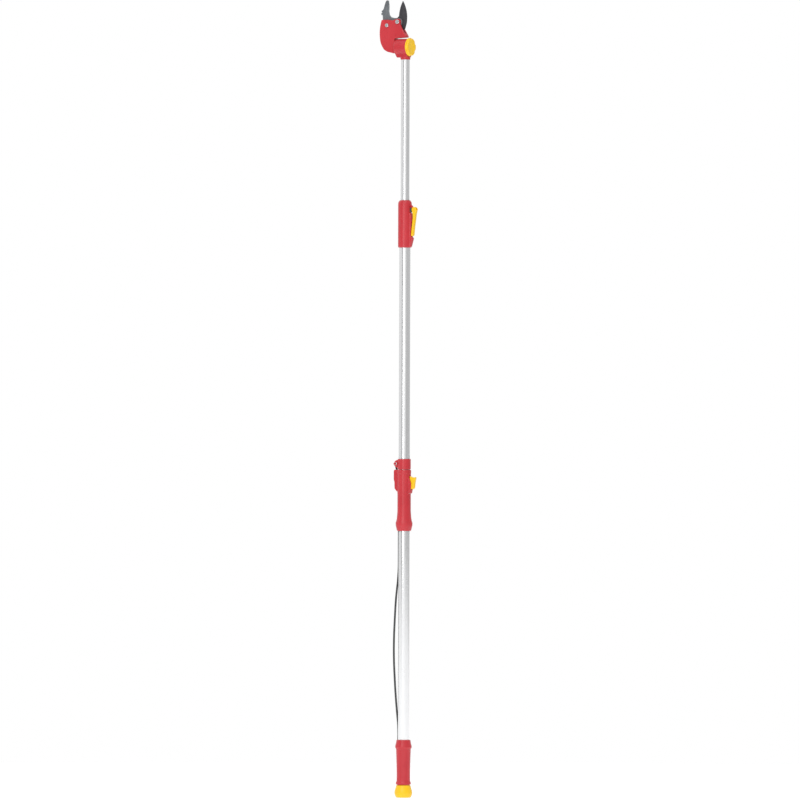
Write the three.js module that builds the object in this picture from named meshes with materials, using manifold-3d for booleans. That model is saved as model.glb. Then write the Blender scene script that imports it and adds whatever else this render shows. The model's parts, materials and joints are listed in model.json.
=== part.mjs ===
// Telescopic pull-strap pole pruner: two aluminium tubes, a swivelling bypass cutting head, a tube clamp,
// a sliding pull handle, a pull strap and a pull-out end knob.
// Millimetres, +Z up the pole. The origin is the centre of the end knob's flat bottom. +X is the side of
// the swivel knob, clamp lever and trigger; -X is the side of the hook and the strap.
import * as THREE from 'three';
import { mergeVertices } from 'three/addons/utils/BufferGeometryUtils.js';
import Module from 'manifold-3d';

// ---------- driving dimensions ----------
const gap = 0.3;                   // clearance between touching pieces
const round = 24;                  // segments round a pole-sized piece
const roundSmall = 16;             // segments round a pin

// overall heights
const swivelHeight = 2161;         // the head turns about a level axis at this height
const outerTubeTop = 1676;
const handleBottom = 768;

// head
const barrelRadius = 24;
const barrelLeft = -29.5;
const barrelRight = 12.6;
const barrelWall = 3;
const socketLength = 7;            // how much of the inner tube the socket covers outside
const socketWall = 1.7;
const spigotLength = 58;
const swivelBoltRadius = 6;
const swivelBoltBore = 4.6;
const swivelBoltFlange = 7.2;
const washerThickness = 1.4;
const swivelKnobRadius = 26.5;
const swivelKnobThickness = 8.5;
const housingHalf = 10;            // half the housing's thickness
const housingWall = 2.4;
const pivotX = -21.4;
const pivotRise = 73;              // above the swivel axis
const pivotRadius = 4;
const bladeThickness = 3;
const counterThickness = 3;
const housingScrewX = -56.2;
const housingScrewRise = 63.5;
const housingScrewRadius = 2.5;
const tackleX = -53.6;
const tackleRise = 52.9;
const pulleyRadius = 5;
const pulleyThickness = 3.4;
const fixedPulleyX = -58;
const fixedPulleyRise = 6;

// tubes
const innerTubeRadius = 12.5;
const innerTubeWall = 1.4;
const innerTubeBottom = 250;
const innerTubeTop = swivelHeight - swivelKnobRadius - 2.5;
const tubeClearance = 2;           // between the two tubes, all round
const outerTubeWall = 1.5;
const outerTubeRadius = innerTubeRadius + tubeClearance + outerTubeWall;

// strap
const strapWidth = 10;
const strapThickness = 1.4;
const strapChannel = strapWidth + 1.2;             // width of every slot that the strap runs in
const strapLine = outerTubeRadius + gap + strapThickness / 2 + 0.1;
const channelReach = strapLine + strapThickness / 2 + gap;

// end knob and lower grip, whose walls stand on the outer tube
const knobHeight = 36;
const knobRadius = outerTubeRadius + 9.75;
const knobFootRadius = outerTubeRadius + 5.5;
const knobNeckRadius = outerTubeRadius + 4.3;
const stemWall = 1.6;
const stemLength = 222;
const gripBottom = knobHeight + 1;
const gripTop = 166;
const gripBeadRadius = outerTubeRadius + 5.75;
const gripWaistRadius = outerTubeRadius + 3.25;
const gripFlareRadius = outerTubeRadius + 8;
const outerTubeBottom = gripBottom + 3 + gap;

// sliding handle
const handleLength = 176;
const handleRadius = outerTubeRadius + 3.85;
const handleWaistRadius = outerTubeRadius + 3.3;
const handleFlareRadius = outerTubeRadius + 8.5;
const handleBumpReach = outerTubeRadius + 14.6;    // how far the strap housing stands out on -X
const handleBumpWidth = strapChannel + 6.8;
const handleBumpLength = 58;
const handleScrewRadius = 1.6;

// trigger
const triggerWidth = 10;
const triggerPinX = outerTubeRadius + 6;
const triggerPinDrop = 44;         // below the handle's top
const triggerPinRadius = 1.6;

// stop collar
const collarBottom = handleBottom + handleLength + 1;
const collarHeight = 30;
const collarRadius = outerTubeRadius + 2.9;
const collarRollerX = -outerTubeRadius - 6.2;
const rollerRadius = 3.9;
const collarScrewRadius = 2;

// tube clamp and lever
const clampBottom = outerTubeTop - 92;
const clampTop = outerTubeTop + 44;
const clampRadius = outerTubeRadius + 3.75;
const leverPinX = clampRadius + 11.25;
const leverPinDrop = 28;           // below the clamp's top
const leverPinRadius = 2;
const leverWidth = 12;
const leverBulbRadius = 9;
const leverEnd = 32;               // above the clamp's bottom
const clampShoeHeight = 12;
const clampShoeWidth = 10;

// ---------- materials ----------
const finish = (color, roughness, metalness = 0) =>
  new THREE.MeshStandardMaterial({ color, roughness, metalness });
const redPlastic = finish('#c9303a', 0.42);
const yellowPlastic = finish('#fbcb05', 0.4);
const aluminium = finish('#c9cbce', 0.35, 1);
const steel = finish('#b9bbbe', 0.3, 1);
const coatedBlade = finish('#3b3b3f', 0.45, 0.5);
const greyBlade = finish('#6f7376', 0.45, 0.5);
const blackStrap = finish('#26282a', 0.8);
const greyPlastic = finish('#4a4c4f', 0.55);

// ---------- solids ----------
const wasm = await Module();
wasm.setup();

// A closed geometry as a solid, with its faces turned outwards.
function solid(geometry) {
  const bare = geometry.index ? geometry.toNonIndexed() : geometry.clone();
  bare.deleteAttribute('normal');
  bare.deleteAttribute('uv');
  const merged = mergeVertices(bare, 1e-4);
  const positions = Float32Array.from(merged.attributes.position.array);
  const corners = Uint32Array.from(merged.index.array);
  const faces = [];
  for (let i = 0; i < corners.length; i += 3) {
    const [a, b, c] = [corners[i], corners[i + 1], corners[i + 2]];
    if (a !== b && b !== c && c !== a) faces.push(a, b, c);
  }
  if (signedVolume(positions, faces) < 0) faces.reverse();
  return new wasm.Manifold(new wasm.Mesh({
    numProp: 3, vertProperties: positions, triVerts: Uint32Array.from(faces),
  }));
}

function signedVolume(positions, faces) {
  const corner = (i) => new THREE.Vector3().fromArray(positions, 3 * faces[i]);
  let volume = 0;
  for (let i = 0; i < faces.length; i += 3) {
    volume += corner(i).dot(corner(i + 1).cross(corner(i + 2)));
  }
  return volume;
}

function cut(body, ...tools) {
  return tools.reduce((rest, tool) => rest.subtract(tool), body);
}

function join(body, ...others) {
  return others.reduce((whole, other) => whole.add(other), body);
}

const assembly = new THREE.Group();

function place(name, body, material) {
  const mesh = body.getMesh();
  const geometry = new THREE.BufferGeometry();
  geometry.setAttribute('position', new THREE.BufferAttribute(mesh.vertProperties, 3));
  geometry.setIndex(new THREE.BufferAttribute(mesh.triVerts, 1));
  const piece = new THREE.Mesh(geometry, material);
  piece.name = name;
  assembly.add(piece);
}

// ---------- shapes ----------
// A profile of [radius, z] points turned about the pole's axis.
function turned(profile, segments = round) {
  const points = profile.map(([r, z]) => new THREE.Vector2(r, z));
  return solid(new THREE.LatheGeometry(points, segments).rotateX(Math.PI / 2));
}

function ring(outer, inner, z0, z1, segments = round) {
  return turned([[inner, z0], [outer, z0], [outer, z1], [inner, z1], [inner, z0]], segments);
}

// A profile of [radius, u] points turned about an axis along X, Y or Z; u is the distance along it.
function turnedAlong(axis, profile, [x, y, z], segments = round) {
  const points = profile.map(([r, u]) => new THREE.Vector2(r, u));
  const geometry = new THREE.LatheGeometry(points, segments);
  if (axis === 'x') geometry.rotateZ(-Math.PI / 2);
  if (axis === 'z') geometry.rotateX(Math.PI / 2);
  return solid(geometry.translate(x, y, z));
}

function rod(axis, radius, from, to, centre, segments = roundSmall) {
  return turnedAlong(axis, [[0, from], [radius, from], [radius, to], [0, to]], centre, segments);
}

function bored(axis, outer, inner, from, to, centre, segments = roundSmall) {
  const profile = [[inner, from], [outer, from], [outer, to], [inner, to], [inner, from]];
  return turnedAlong(axis, profile, centre, segments);
}

function block(x0, x1, y0, y1, z0, z1) {
  const box = new THREE.BoxGeometry(x1 - x0, y1 - y0, z1 - z0);
  return solid(box.translate((x0 + x1) / 2, (y0 + y1) / 2, (z0 + z1) / 2));
}

// An outline in X and Z, as thick as from y0 to y1.
function plate(outline, y0, y1, curveSegments = 4) {
  const geometry = new THREE.ExtrudeGeometry(outline, {
    depth: y1 - y0, bevelEnabled: false, curveSegments,
  });
  return solid(geometry.rotateX(Math.PI / 2).translate(0, y1, 0));
}

// Straight corners through [x, z] points.
function polygon(points) {
  return new THREE.Shape(points.map(([x, z]) => new THREE.Vector2(x, z)));
}

// A smooth line through [x, z] points, added to a shape.
function smooth(shape, points) {
  shape.splineThru(points.map(([x, z]) => new THREE.Vector2(x, z)));
}

// A hexagon prism along an axis.
function hexagon(axis, acrossFlats, from, to, centre) {
  return rod(axis, acrossFlats / Math.sqrt(3), from, to, centre, 6);
}

// A flat strap carried along points in the plane y = 0.
function strap(points, steps) {
  const route = new THREE.CatmullRomCurve3(points.map(([x, z]) => new THREE.Vector3(x, 0, z)));
  const [w, t] = [strapWidth / 2, strapThickness / 2];
  const section = polygon([[-w, -t], [w, -t], [w, t], [-w, t]]);
  return solid(new THREE.ExtrudeGeometry(section, { steps, extrudePath: route }));
}

// A round wire wound about an axis along Y, with its two ends left square.
function coil(centre, radius, wire, turns, pitch) {
  const [x, y, z] = centre;
  const count = turns * 12;
  const points = Array.from({ length: count + 1 }, (_, i) => {
    const angle = (i / 12) * 2 * Math.PI;
    return new THREE.Vector3(
      x + radius * Math.cos(angle), y + (i / 12) * pitch, z + radius * Math.sin(angle));
  });
  const section = new THREE.Shape().absarc(0, 0, wire / 2, 0, 2 * Math.PI);
  return solid(new THREE.ExtrudeGeometry(section, {
    steps: count, curveSegments: 3, extrudePath: new THREE.CatmullRomCurve3(points),
  }));
}

// ---------- tubes ----------
const socketBottom = innerTubeTop - socketLength;
const outerTubeBore = outerTubeRadius - outerTubeWall;
const innerTubeBore = innerTubeRadius - innerTubeWall;
const rollerHeight = collarBottom + collarHeight / 2 + 1;
const strapWindowTop = rollerHeight + 8;
const strapWindowBottom = rollerHeight;

function makeOuterTube() {
  const tube = ring(outerTubeRadius, outerTubeBore, outerTubeBottom, outerTubeTop);
  const window = block(-outerTubeRadius - 2, -outerTubeBore + 4, -strapChannel / 2, strapChannel / 2,
    strapWindowBottom, strapWindowTop);
  place('outer_tube', cut(tube, window), aluminium);
}

function makeInnerTube() {
  const tube = ring(innerTubeRadius, innerTubeBore, innerTubeBottom, innerTubeTop);
  const screwHole = rod('y', 2, 0, 30, [0, 0, socketBottom - 20]);
  place('inner_tube', cut(tube, screwHole), aluminium);
  const plugTop = innerTubeBottom + 20;
  const flange = outerTubeBore - gap;
  const body = innerTubeBore - gap;
  const throat = body - 3;
  const plug = turned([
    [throat, innerTubeBottom - 8], [flange, innerTubeBottom - 8], [flange, innerTubeBottom - gap],
    [body, innerTubeBottom - gap], [body, plugTop], [throat, plugTop], [throat, innerTubeBottom - 8],
  ]);
  const strapNotch = block(-outerTubeRadius, -body - 0.2, -strapChannel / 2, strapChannel / 2,
    innerTubeBottom - 10, innerTubeBottom + 1);
  place('inner_tube_plug', cut(plug, strapNotch), greyPlastic);
  const bushBottom = outerTubeTop - 40;
  place('pole_bush', ring(outerTubeBore - gap, innerTubeRadius + gap, bushBottom, outerTubeTop - 2),
    greyPlastic);
}

// ---------- lower grip and end knob ----------
function makeLowerGrip() {
  const bore = outerTubeRadius + gap;
  const lip = outerTubeBore - 0.2;
  const grip = turned([
    [lip, gripBottom], [gripBeadRadius - 1.5, gripBottom], [gripBeadRadius, gripBottom + 3],
    [gripBeadRadius, gripBottom + 6], [gripWaistRadius, gripBottom + 12],
    [gripWaistRadius + 0.6, gripTop - 70], [gripFlareRadius - 2.6, gripTop - 26],
    [gripFlareRadius, gripTop - 22], [gripFlareRadius, gripTop - 19],
    [gripBeadRadius, gripTop - 13], [gripWaistRadius + 1.25, gripTop - 3],
    [gripWaistRadius + 0.4, gripTop], [bore, gripTop], [bore, outerTubeBottom - gap],
    [lip, outerTubeBottom - gap], [lip, gripBottom],
  ]);
  const channel = block(-channelReach, -bore + 4, -strapChannel / 2, strapChannel / 2,
    outerTubeBottom + 2, gripTop + 1);
  place('lower_grip', cut(grip, channel), redPlastic);
}

function makeEndKnob() {
  const stemRadius = outerTubeBore - 0.7;
  const stemBottom = knobHeight - 24;
  const pinHeight = knobHeight - 10;
  const knob = turned([
    [0, 0], [knobFootRadius - 3, 0], [knobFootRadius, 1.2], [knobRadius - 1, 8],
    [knobRadius, 13], [knobRadius - 0.8, 19], [knobNeckRadius + 1, 30], [knobNeckRadius, knobHeight],
    [stemRadius + gap, knobHeight], [stemRadius + gap, stemBottom - gap], [0, stemBottom - gap],
  ]);
  const pinHole = rod('y', 2 + gap, -knobNeckRadius + 2.5, knobRadius, [0, 0, pinHeight]);
  place('end_knob', cut(knob, pinHole), yellowPlastic);
  const stem = ring(stemRadius, stemRadius - stemWall, stemBottom, stemBottom + stemLength);
  place('knob_stem', cut(stem, pinHole), aluminium);
  place('knob_pin', rod('y', 2, -knobNeckRadius + 3, knobNeckRadius - 1, [0, 0, pinHeight]), steel);
}

// ---------- stop collar ----------
function makeCollar() {
  const bore = outerTubeRadius + gap;
  const top = collarBottom + collarHeight;
  const slotHalf = strapChannel / 2 + 0.3;
  const earHalf = slotHalf + 3.1;
  const lugRise = 11;
  const tip = rollerRadius + strapThickness + 0.3;
  const lug = new THREE.Shape();
  lug.moveTo(-bore - 1, rollerHeight - lugRise);
  lug.lineTo(collarRollerX, rollerHeight - lugRise);
  lug.absarc(collarRollerX, rollerHeight - lugRise + tip, tip, 1.5 * Math.PI, Math.PI, true);
  lug.absarc(collarRollerX, rollerHeight + lugRise - tip, tip, Math.PI, 0.5 * Math.PI, true);
  lug.lineTo(-bore - 1, rollerHeight + lugRise);
  const band = turned([
    [bore, collarBottom], [collarRadius - 1, collarBottom], [collarRadius, collarBottom + 2],
    [collarRadius, top - 2], [collarRadius - 1, top], [bore, top], [bore, collarBottom],
  ]);
  const slot = block(-50, -collarRadius + 0.6, -slotHalf, slotHalf, collarBottom - 5, top + 5);
  const window = block(-30, -bore + 4, -slotHalf, slotHalf, strapWindowBottom, strapWindowTop);
  const screwHole = rod('y', collarScrewRadius + gap, -20, 20, [collarRollerX, 0, rollerHeight]);
  const tubeRoom = rod('z', bore, collarBottom - 5, top + 5, [0, 0, 0], round);
  const body = cut(join(band, plate(lug, -earHalf, earHalf)), tubeRoom);
  place('stop_collar', cut(body, slot, window, screwHole), redPlastic);

  const centre = [collarRollerX, 0, rollerHeight];
  const faceHalf = slotHalf - gap;
  place('strap_roller', bored('y', rollerRadius, collarScrewRadius + gap, -faceHalf, faceHalf, centre),
    greyPlastic);
  const headRadius = collarScrewRadius + 1.3;
  place('collar_screw', turnedAlong('y', [
    [0, -earHalf - 2.6], [headRadius - 0.9, -earHalf - 2.6], [headRadius, -earHalf - 1.6],
    [headRadius, -earHalf - gap], [collarScrewRadius, -earHalf - gap],
    [collarScrewRadius, earHalf + 4.4], [0, earHalf + 4.4],
  ], centre, roundSmall), steel);
  const nut = hexagon('y', 2 * collarScrewRadius + 3, earHalf + gap, earHalf + 3.4, centre);
  place('collar_nut', cut(nut, rod('y', collarScrewRadius + gap, 0, 30, centre)), steel);
}

// ---------- sliding handle ----------
const handleTop = handleBottom + handleLength;
const handleBore = outerTubeRadius + 0.4;
const bumpBottom = handleTop - handleBumpLength;
const bumpCavityBottom = bumpBottom + 10;
const triggerPinHeight = handleTop - triggerPinDrop;
const flareHeight = handleBottom + 23;
const lowScrewX = (handleFlareRadius + handleBore) / 2;

function handleBody() {
  const waistBottom = handleBottom + 54;
  const waistTop = handleTop - 67;
  const skin = turned([
    [handleBore, handleBottom], [handleFlareRadius - 4.2, handleBottom],
    [handleFlareRadius, flareHeight - 3], [handleFlareRadius, flareHeight + 2],
    [handleFlareRadius - 2.4, flareHeight + 9], [handleWaistRadius, waistBottom],
    [handleWaistRadius, waistTop], [handleRadius, waistTop + 5], [handleRadius, handleTop - 2],
    [handleRadius - 1.5, handleTop], [handleBore, handleTop], [handleBore, handleBottom],
  ]);
  const bump = polygon([
    [-handleBore, bumpBottom - 10], [-handleBumpReach + 5, bumpBottom],
    [-handleBumpReach + 2, bumpBottom + 6], [-handleBumpReach, bumpBottom + 20],
    [-handleBumpReach, handleTop - 3], [-handleBumpReach + 3, handleTop], [-handleBore, handleTop],
  ]);
  const halfBump = handleBumpWidth / 2;
  const tubeRoom = rod('z', handleBore, handleBottom - 9, handleTop + 9, [0, 0, 0], round);
  return cut(join(skin, plate(bump, -halfBump, halfBump), triggerEars()), tubeRoom);
}

function triggerEars() {
  const inner = triggerWidth / 2 + gap;
  const outline = polygon([
    [handleBore + 0.5, triggerPinHeight - 26], [triggerPinX + 1, triggerPinHeight - 24],
    [triggerPinX + 4, triggerPinHeight - 6], [triggerPinX + 4, triggerPinHeight + 6],
    [triggerPinX - 2, triggerPinHeight + 22], [handleBore + 0.5, triggerPinHeight + 24],
  ]);
  const bridge = block(handleBore + 0.5, triggerPinX + 1, -inner - 1, inner + 1,
    triggerPinHeight - 24, triggerPinHeight - 14);
  const front = plate(outline, -inner - 3, -inner);
  return join(front, plate(outline, inner, inner + 3), bridge);
}

function handleScrewPlaces() {
  return [
    [lowScrewX, flareHeight], [-lowScrewX, flareHeight],
    [-handleBumpReach + 8, bumpBottom + 4], [triggerPinX - 2.2, triggerPinHeight - 19],
  ];
}

function makeHandle() {
  const half = strapChannel / 2;
  const channel = block(-channelReach, -handleBore + 4, -half, half, handleBottom - 1, handleTop + 1);
  const cavity = block(-handleBumpReach + 2.6, -handleBore + 4, -half - 0.6, half + 0.6,
    bumpCavityBottom, handleTop + 1);
  const pinHole = rod('y', triggerPinRadius + gap, -triggerWidth, triggerWidth,
    [triggerPinX, 0, triggerPinHeight]);
  const holes = handleScrewPlaces().map(([x, z]) =>
    rod('y', handleScrewRadius + gap, -5, 30, [x, 0, z], 12));
  const body = cut(handleBody(), channel, cavity, pinHole, ...holes, triggerSweep());
  const seam = 0.15;
  const far = 60;
  const frontSide = block(-far, far, -far, -seam, 0, clampTop);
  const rearSide = block(-far, far, seam, far, 0, clampTop);
  place('handle_front', body.intersect(frontSide), redPlastic);
  place('handle_rear', body.intersect(rearSide), redPlastic);
  handleScrewPlaces().forEach(([x, z], index) => {
    place(`handle_screw_${index + 1}`, rod('y', handleScrewRadius, -4.5, 6, [x, 0, z], 12), steel);
  });
}

// Room for the trigger's lower end, which tips in as its nose comes out and down.
function triggerSweep() {
  const half = triggerWidth / 2 + gap;
  return block(triggerPinX - 3.4, triggerPinX + 20, -half, half,
    triggerPinHeight - 13.5, triggerPinHeight + 30);
}

function makeTrigger() {
  const [x, z] = [triggerPinX, triggerPinHeight];
  const outline = new THREE.Shape();
  outline.moveTo(x - 1.6, z - 6);
  outline.lineTo(x + 2, z - 12);
  smooth(outline, [[x + 7, z - 9.5], [x + 12, z + 4], [x + 16.7, z + 21]]);
  outline.lineTo(x + 11, z + 23);
  smooth(outline, [[x + 5, z + 22.5], [x - 1.2, z + 26]]);
  const body = plate(outline, -triggerWidth / 2, triggerWidth / 2);
  const hole = rod('y', triggerPinRadius + gap, -20, 20, [x, 0, z], 12);
  const springRoom = rod('x', 2.6, -9, 3.4, [x, 0, z + 16], 12);
  place('trigger', cut(body, hole, springRoom), yellowPlastic);
  const pinHalf = triggerWidth / 2 + 2.6;
  place('trigger_pin', rod('y', triggerPinRadius, -pinHalf, pinHalf, [x, 0, z], 12), steel);
  place('trigger_spring', rod('x', 2, -0.9, 3, [x, 0, z + 16], 12), steel);
}

function makeStrapJaw() {
  const half = strapChannel / 2;
  const right = -channelReach;
  const bottom = bumpCavityBottom + gap;
  const jaw = block(right - 5, right, -half, half, bottom, bottom + 12);
  place('strap_jaw', jaw, greyPlastic);
}

// ---------- straps ----------
const poleStrapTop = swivelHeight - swivelBoltRadius - 4;
const lowerStrapTop = 775;         // just inside the handle's lower end

function makeStraps() {
  const inside = -strapLine;
  place('lower_strap', strap([
    [inside, lowerStrapTop], [inside, 735], [inside, 695], [-17.4, 662], [-19.8, 626],
    [-23.9, 592], [-27.3, 557], [-31.1, 490], [-32.4, 454], [-32.7, 419], [-31.8, 384],
    [-30, 350], [-27.8, 315], [-25.1, 281], [-21.7, 246], [-18.4, 215], [inside, 190],
    [inside, 150], [inside, 100], [inside, outerTubeBottom + 5],
  ], 78), blackStrap);

  const wrap = rollerRadius + 2 * gap + strapThickness / 2;
  const turn = [90, 112.5, 135, 157.5, 180].map((degrees) => {
    const angle = THREE.MathUtils.degToRad(degrees);
    return [collarRollerX + wrap * Math.cos(angle), rollerHeight + wrap * Math.sin(angle)];
  });
  place('upper_strap', strap([
    [-outerTubeBore, rollerHeight + wrap - 0.6], [inside - 1.9, rollerHeight + wrap - 0.2], ...turn,
    [collarRollerX - wrap + 0.8, rollerHeight - 9], [inside - 6.4, handleTop - 4],
    [inside - 2.9, handleTop - 15],
    [inside, bumpCavityBottom + 16], [inside, bumpCavityBottom - 20], [inside, handleBottom + 32],
  ], 44), blackStrap);

  const bandInner = innerTubeRadius + gap;
  const bandOuter = outerTubeBore - gap;
  const band = ring(bandOuter, bandInner, innerTubeBottom + 2, strapWindowBottom - 2);
  const strip = block(-outerTubeRadius, 0, -strapWidth / 2, strapWidth / 2, 0, clampBottom);
  place('return_strap', band.intersect(strip), blackStrap);
  const half = strapThickness / 2;
  place('pole_strap', block(-half, half, -strapWidth / 2, strapWidth / 2,
    innerTubeBottom + 12, poleStrapTop), blackStrap);
}

// ---------- tube clamp ----------
const leverPinZ = clampTop - leverPinDrop;
const shoeLeft = innerTubeRadius + gap;
const shoeRight = leverPinX - leverBulbRadius - gap;
const shoeBottom = leverPinZ - clampShoeHeight / 2;

function clampTongue() {
  const boss = leverPinRadius + 3;
  const shape = new THREE.Shape();
  shape.moveTo(clampRadius - 3, clampTop - 22);
  shape.lineTo(leverPinX - 7, leverPinZ + 7);
  shape.lineTo(leverPinX - boss, leverPinZ + 1.5);
  shape.absarc(leverPinX, leverPinZ, boss, Math.PI, 0.62 * Math.PI, false);
  shape.lineTo(leverPinX - 6, leverPinZ + 12);
  shape.lineTo(clampRadius - 3, clampTop - 10);
  return plate(shape, -2.5, 2.5);
}

function clampRidge() {
  const shape = polygon([
    [clampRadius - 5, clampBottom + 12], [clampRadius + 3, clampBottom + 22],
    [clampRadius + 4.8, clampBottom + 27], [clampRadius + 3.4, clampBottom + 31],
    [clampRadius + 1.6, leverEnd + clampBottom + 4], [clampRadius + 6, leverPinZ - 22],
    [clampRadius + 3, leverPinZ - 13], [shoeRight, leverPinZ - 10], [clampRadius - 5, leverPinZ - 8],
  ]);
  return plate(shape, -leverWidth / 2 - 1, leverWidth / 2 + 1);
}

function makeClamp() {
  const shoulder = outerTubeTop + gap;
  const innerBore = innerTubeRadius + gap;
  const skin = turned([
    [outerTubeRadius + gap, clampBottom], [clampRadius - 1.2, clampBottom],
    [clampRadius, clampBottom + 2], [clampRadius, clampTop - 8], [clampRadius - 1.6, clampTop - 3],
    [clampRadius - 5, clampTop], [innerBore, clampTop], [innerBore, shoulder],
    [outerTubeRadius + gap, shoulder], [outerTubeRadius + gap, clampBottom],
  ]);
  const tubeRoom = rod('z', outerTubeRadius + gap, clampBottom - 5, shoulder, [0, 0, 0], round);
  const poleRoom = rod('z', innerBore, shoulder - 5, clampTop + 5, [0, 0, 0], round);
  const halfShoe = clampShoeWidth / 2 + gap;
  const window = block(shoeLeft - 4, leverPinX, -halfShoe, halfShoe,
    shoeBottom - gap, shoeBottom + clampShoeHeight + gap);
  const body = cut(join(skin, clampRidge()), tubeRoom, poleRoom, window);
  const pinHole = rod('y', leverPinRadius + gap, -20, 20, [leverPinX, 0, leverPinZ]);
  place('clamp_body', cut(join(body, clampTongue()), pinHole), redPlastic);
  place('clamp_shoe', block(shoeLeft, shoeRight, -clampShoeWidth / 2, clampShoeWidth / 2,
    shoeBottom, shoeBottom + clampShoeHeight), greyPlastic);
  const pinHalf = leverWidth / 2 - 1.2;
  place('lever_pin', rod('y', leverPinRadius, -pinHalf, leverWidth / 2 - gap,
    [leverPinX, 0, leverPinZ]), steel);
}

function makeLever() {
  const end = clampBottom + leverEnd;
  const shape = new THREE.Shape();
  shape.moveTo(leverPinX - 7.4, leverPinZ - 5.2);
  shape.absarc(leverPinX, leverPinZ, leverBulbRadius, 1.2 * Math.PI, -0.12 * Math.PI, true);
  shape.lineTo(leverPinX + 5.6, leverPinZ - 14);
  smooth(shape, [[leverPinX + 3.6, leverPinZ - 30], [leverPinX + 0.4, end + 22],
    [leverPinX - 1.2, end + 6], [leverPinX - 3.4, end]]);
  shape.lineTo(leverPinX - 7.5, end + 0.6);
  smooth(shape, [[clampRadius + 2.6, end + 8], [clampRadius + 6.9, leverPinZ - 21],
    [leverPinX - 4, leverPinZ - 13]]);
  const body = plate(shape, -leverWidth / 2, leverWidth / 2);
  const boss = leverPinRadius + 3 + 0.5;
  const fork = join(
    rod('y', boss, -3, 3, [leverPinX, 0, leverPinZ]),
    block(leverPinX - 20, leverPinX + 20, -3, 3, leverPinZ, leverPinZ + 20));
  const pinHole = rod('y', leverPinRadius + gap, -leverWidth / 2 + 0.9, 20, [leverPinX, 0, leverPinZ]);
  place('clamp_lever', cut(body, fork, pinHole), yellowPlastic);
}

// ---------- swivel bracket and knob ----------
const barrelCentre = [0, 0, swivelHeight];

function makeBracket() {
  const socketRadius = innerTubeRadius + socketWall;
  const socketTop = innerTubeTop + gap;
  const spigotRadius = innerTubeBore - gap;
  const webHalf = socketRadius - 1;
  const barrel = turnedAlong('x', [
    [0, barrelLeft], [barrelRadius - 4, barrelLeft], [barrelRadius - 1, barrelLeft + 2],
    [barrelRadius, barrelLeft + 6], [barrelRadius, barrelRight], [0, barrelRight],
  ], barrelCentre);
  const web = plate(polygon([
    [barrelLeft + 1, swivelHeight], [barrelLeft + 1, swivelHeight - 18],
    [barrelLeft + 8, swivelHeight - 30], [barrelRight, socketTop], [barrelRight, swivelHeight],
  ]), -webHalf, webHalf);
  const socket = rod('z', socketRadius, socketBottom, socketTop + 2, [0, 0, 0], round);
  const tubeRoom = ring(innerTubeRadius + gap, spigotRadius, socketBottom - 5, socketTop);
  const spigot = rod('z', spigotRadius, socketBottom - spigotLength, socketTop + 2, [0, 0, 0], round);
  const knobRoom = block(barrelRight, barrelRight + 9, -30, 30, socketTop - 1, swivelHeight + 30);
  const hollow = rod('x', barrelRadius - barrelWall, barrelLeft + 5, barrelRight - 4, barrelCentre, round);
  const boltRoom = rod('x', swivelBoltRadius + gap, -60, 60, barrelCentre);
  const strapRoom = rod('z', spigotRadius - 2.6, socketBottom - spigotLength - 5, swivelHeight, [0, 0, 0]);
  const screwHeight = socketBottom - 20;
  const screwHole = rod('y', 2, 0, 30, [0, 0, screwHeight]);
  const body = cut(join(barrel, web, socket, spigot), tubeRoom, knobRoom, hollow, boltRoom,
    strapRoom, screwHole);
  place('swivel_bracket', body, redPlastic);
  place('bracket_screw', turnedAlong('y', [
    [0, spigotRadius - 2], [1.7, spigotRadius - 2], [1.7, innerTubeRadius + gap],
    [3.2, innerTubeRadius + gap], [3.2, innerTubeRadius + 1.4], [2.2, innerTubeRadius + 2.2],
    [0, innerTubeRadius + 2.2],
  ], [0, 0, screwHeight], roundSmall), steel);
  place('swivel_washer', bored('x', 11, swivelBoltRadius + gap, barrelLeft - gap - washerThickness,
    barrelLeft - gap, barrelCentre), steel);
}

function makeSwivelKnob() {
  const left = barrelRight + gap;
  const right = left + swivelKnobThickness;
  const insertRadius = swivelBoltRadius + 3.4;
  const insertRight = right - 2.5;
  const body = turnedAlong('x', [
    [insertRadius + gap, left], [swivelKnobRadius - 1, left], [swivelKnobRadius, left + 1],
    [swivelKnobRadius, left + 3.6], [swivelKnobRadius - 2.6, right - 1.2],
    [swivelKnobRadius - 6, right], [0, right], [0, insertRight + gap],
    [insertRadius + gap, insertRight + gap], [insertRadius + gap, left],
  ], barrelCentre);
  const lobes = Array.from({ length: 6 }, (_, i) => {
    const angle = (i + 0.5) * Math.PI / 3;
    const reach = swivelKnobRadius + 9.5;
    const centre = [0, reach * Math.cos(angle), swivelHeight + reach * Math.sin(angle)];
    return rod('x', 11.5, left + 3.6, right + 1, centre);
  });
  place('swivel_knob', cut(body, ...lobes), yellowPlastic);
  const insert = rod('x', insertRadius, left + gap, insertRight, barrelCentre, 6);
  const thread = rod('x', swivelBoltRadius + gap, left - 1, right, barrelCentre);
  place('knob_insert', cut(insert, thread), steel);
}

// ---------- head ----------
const headZ = (rise) => swivelHeight + rise;
const at = (x, rise) => [x, swivelHeight + rise];
const housingRight = barrelLeft - 2 * gap - washerThickness;
const pivot = [pivotX, 0, headZ(pivotRise)];

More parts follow.
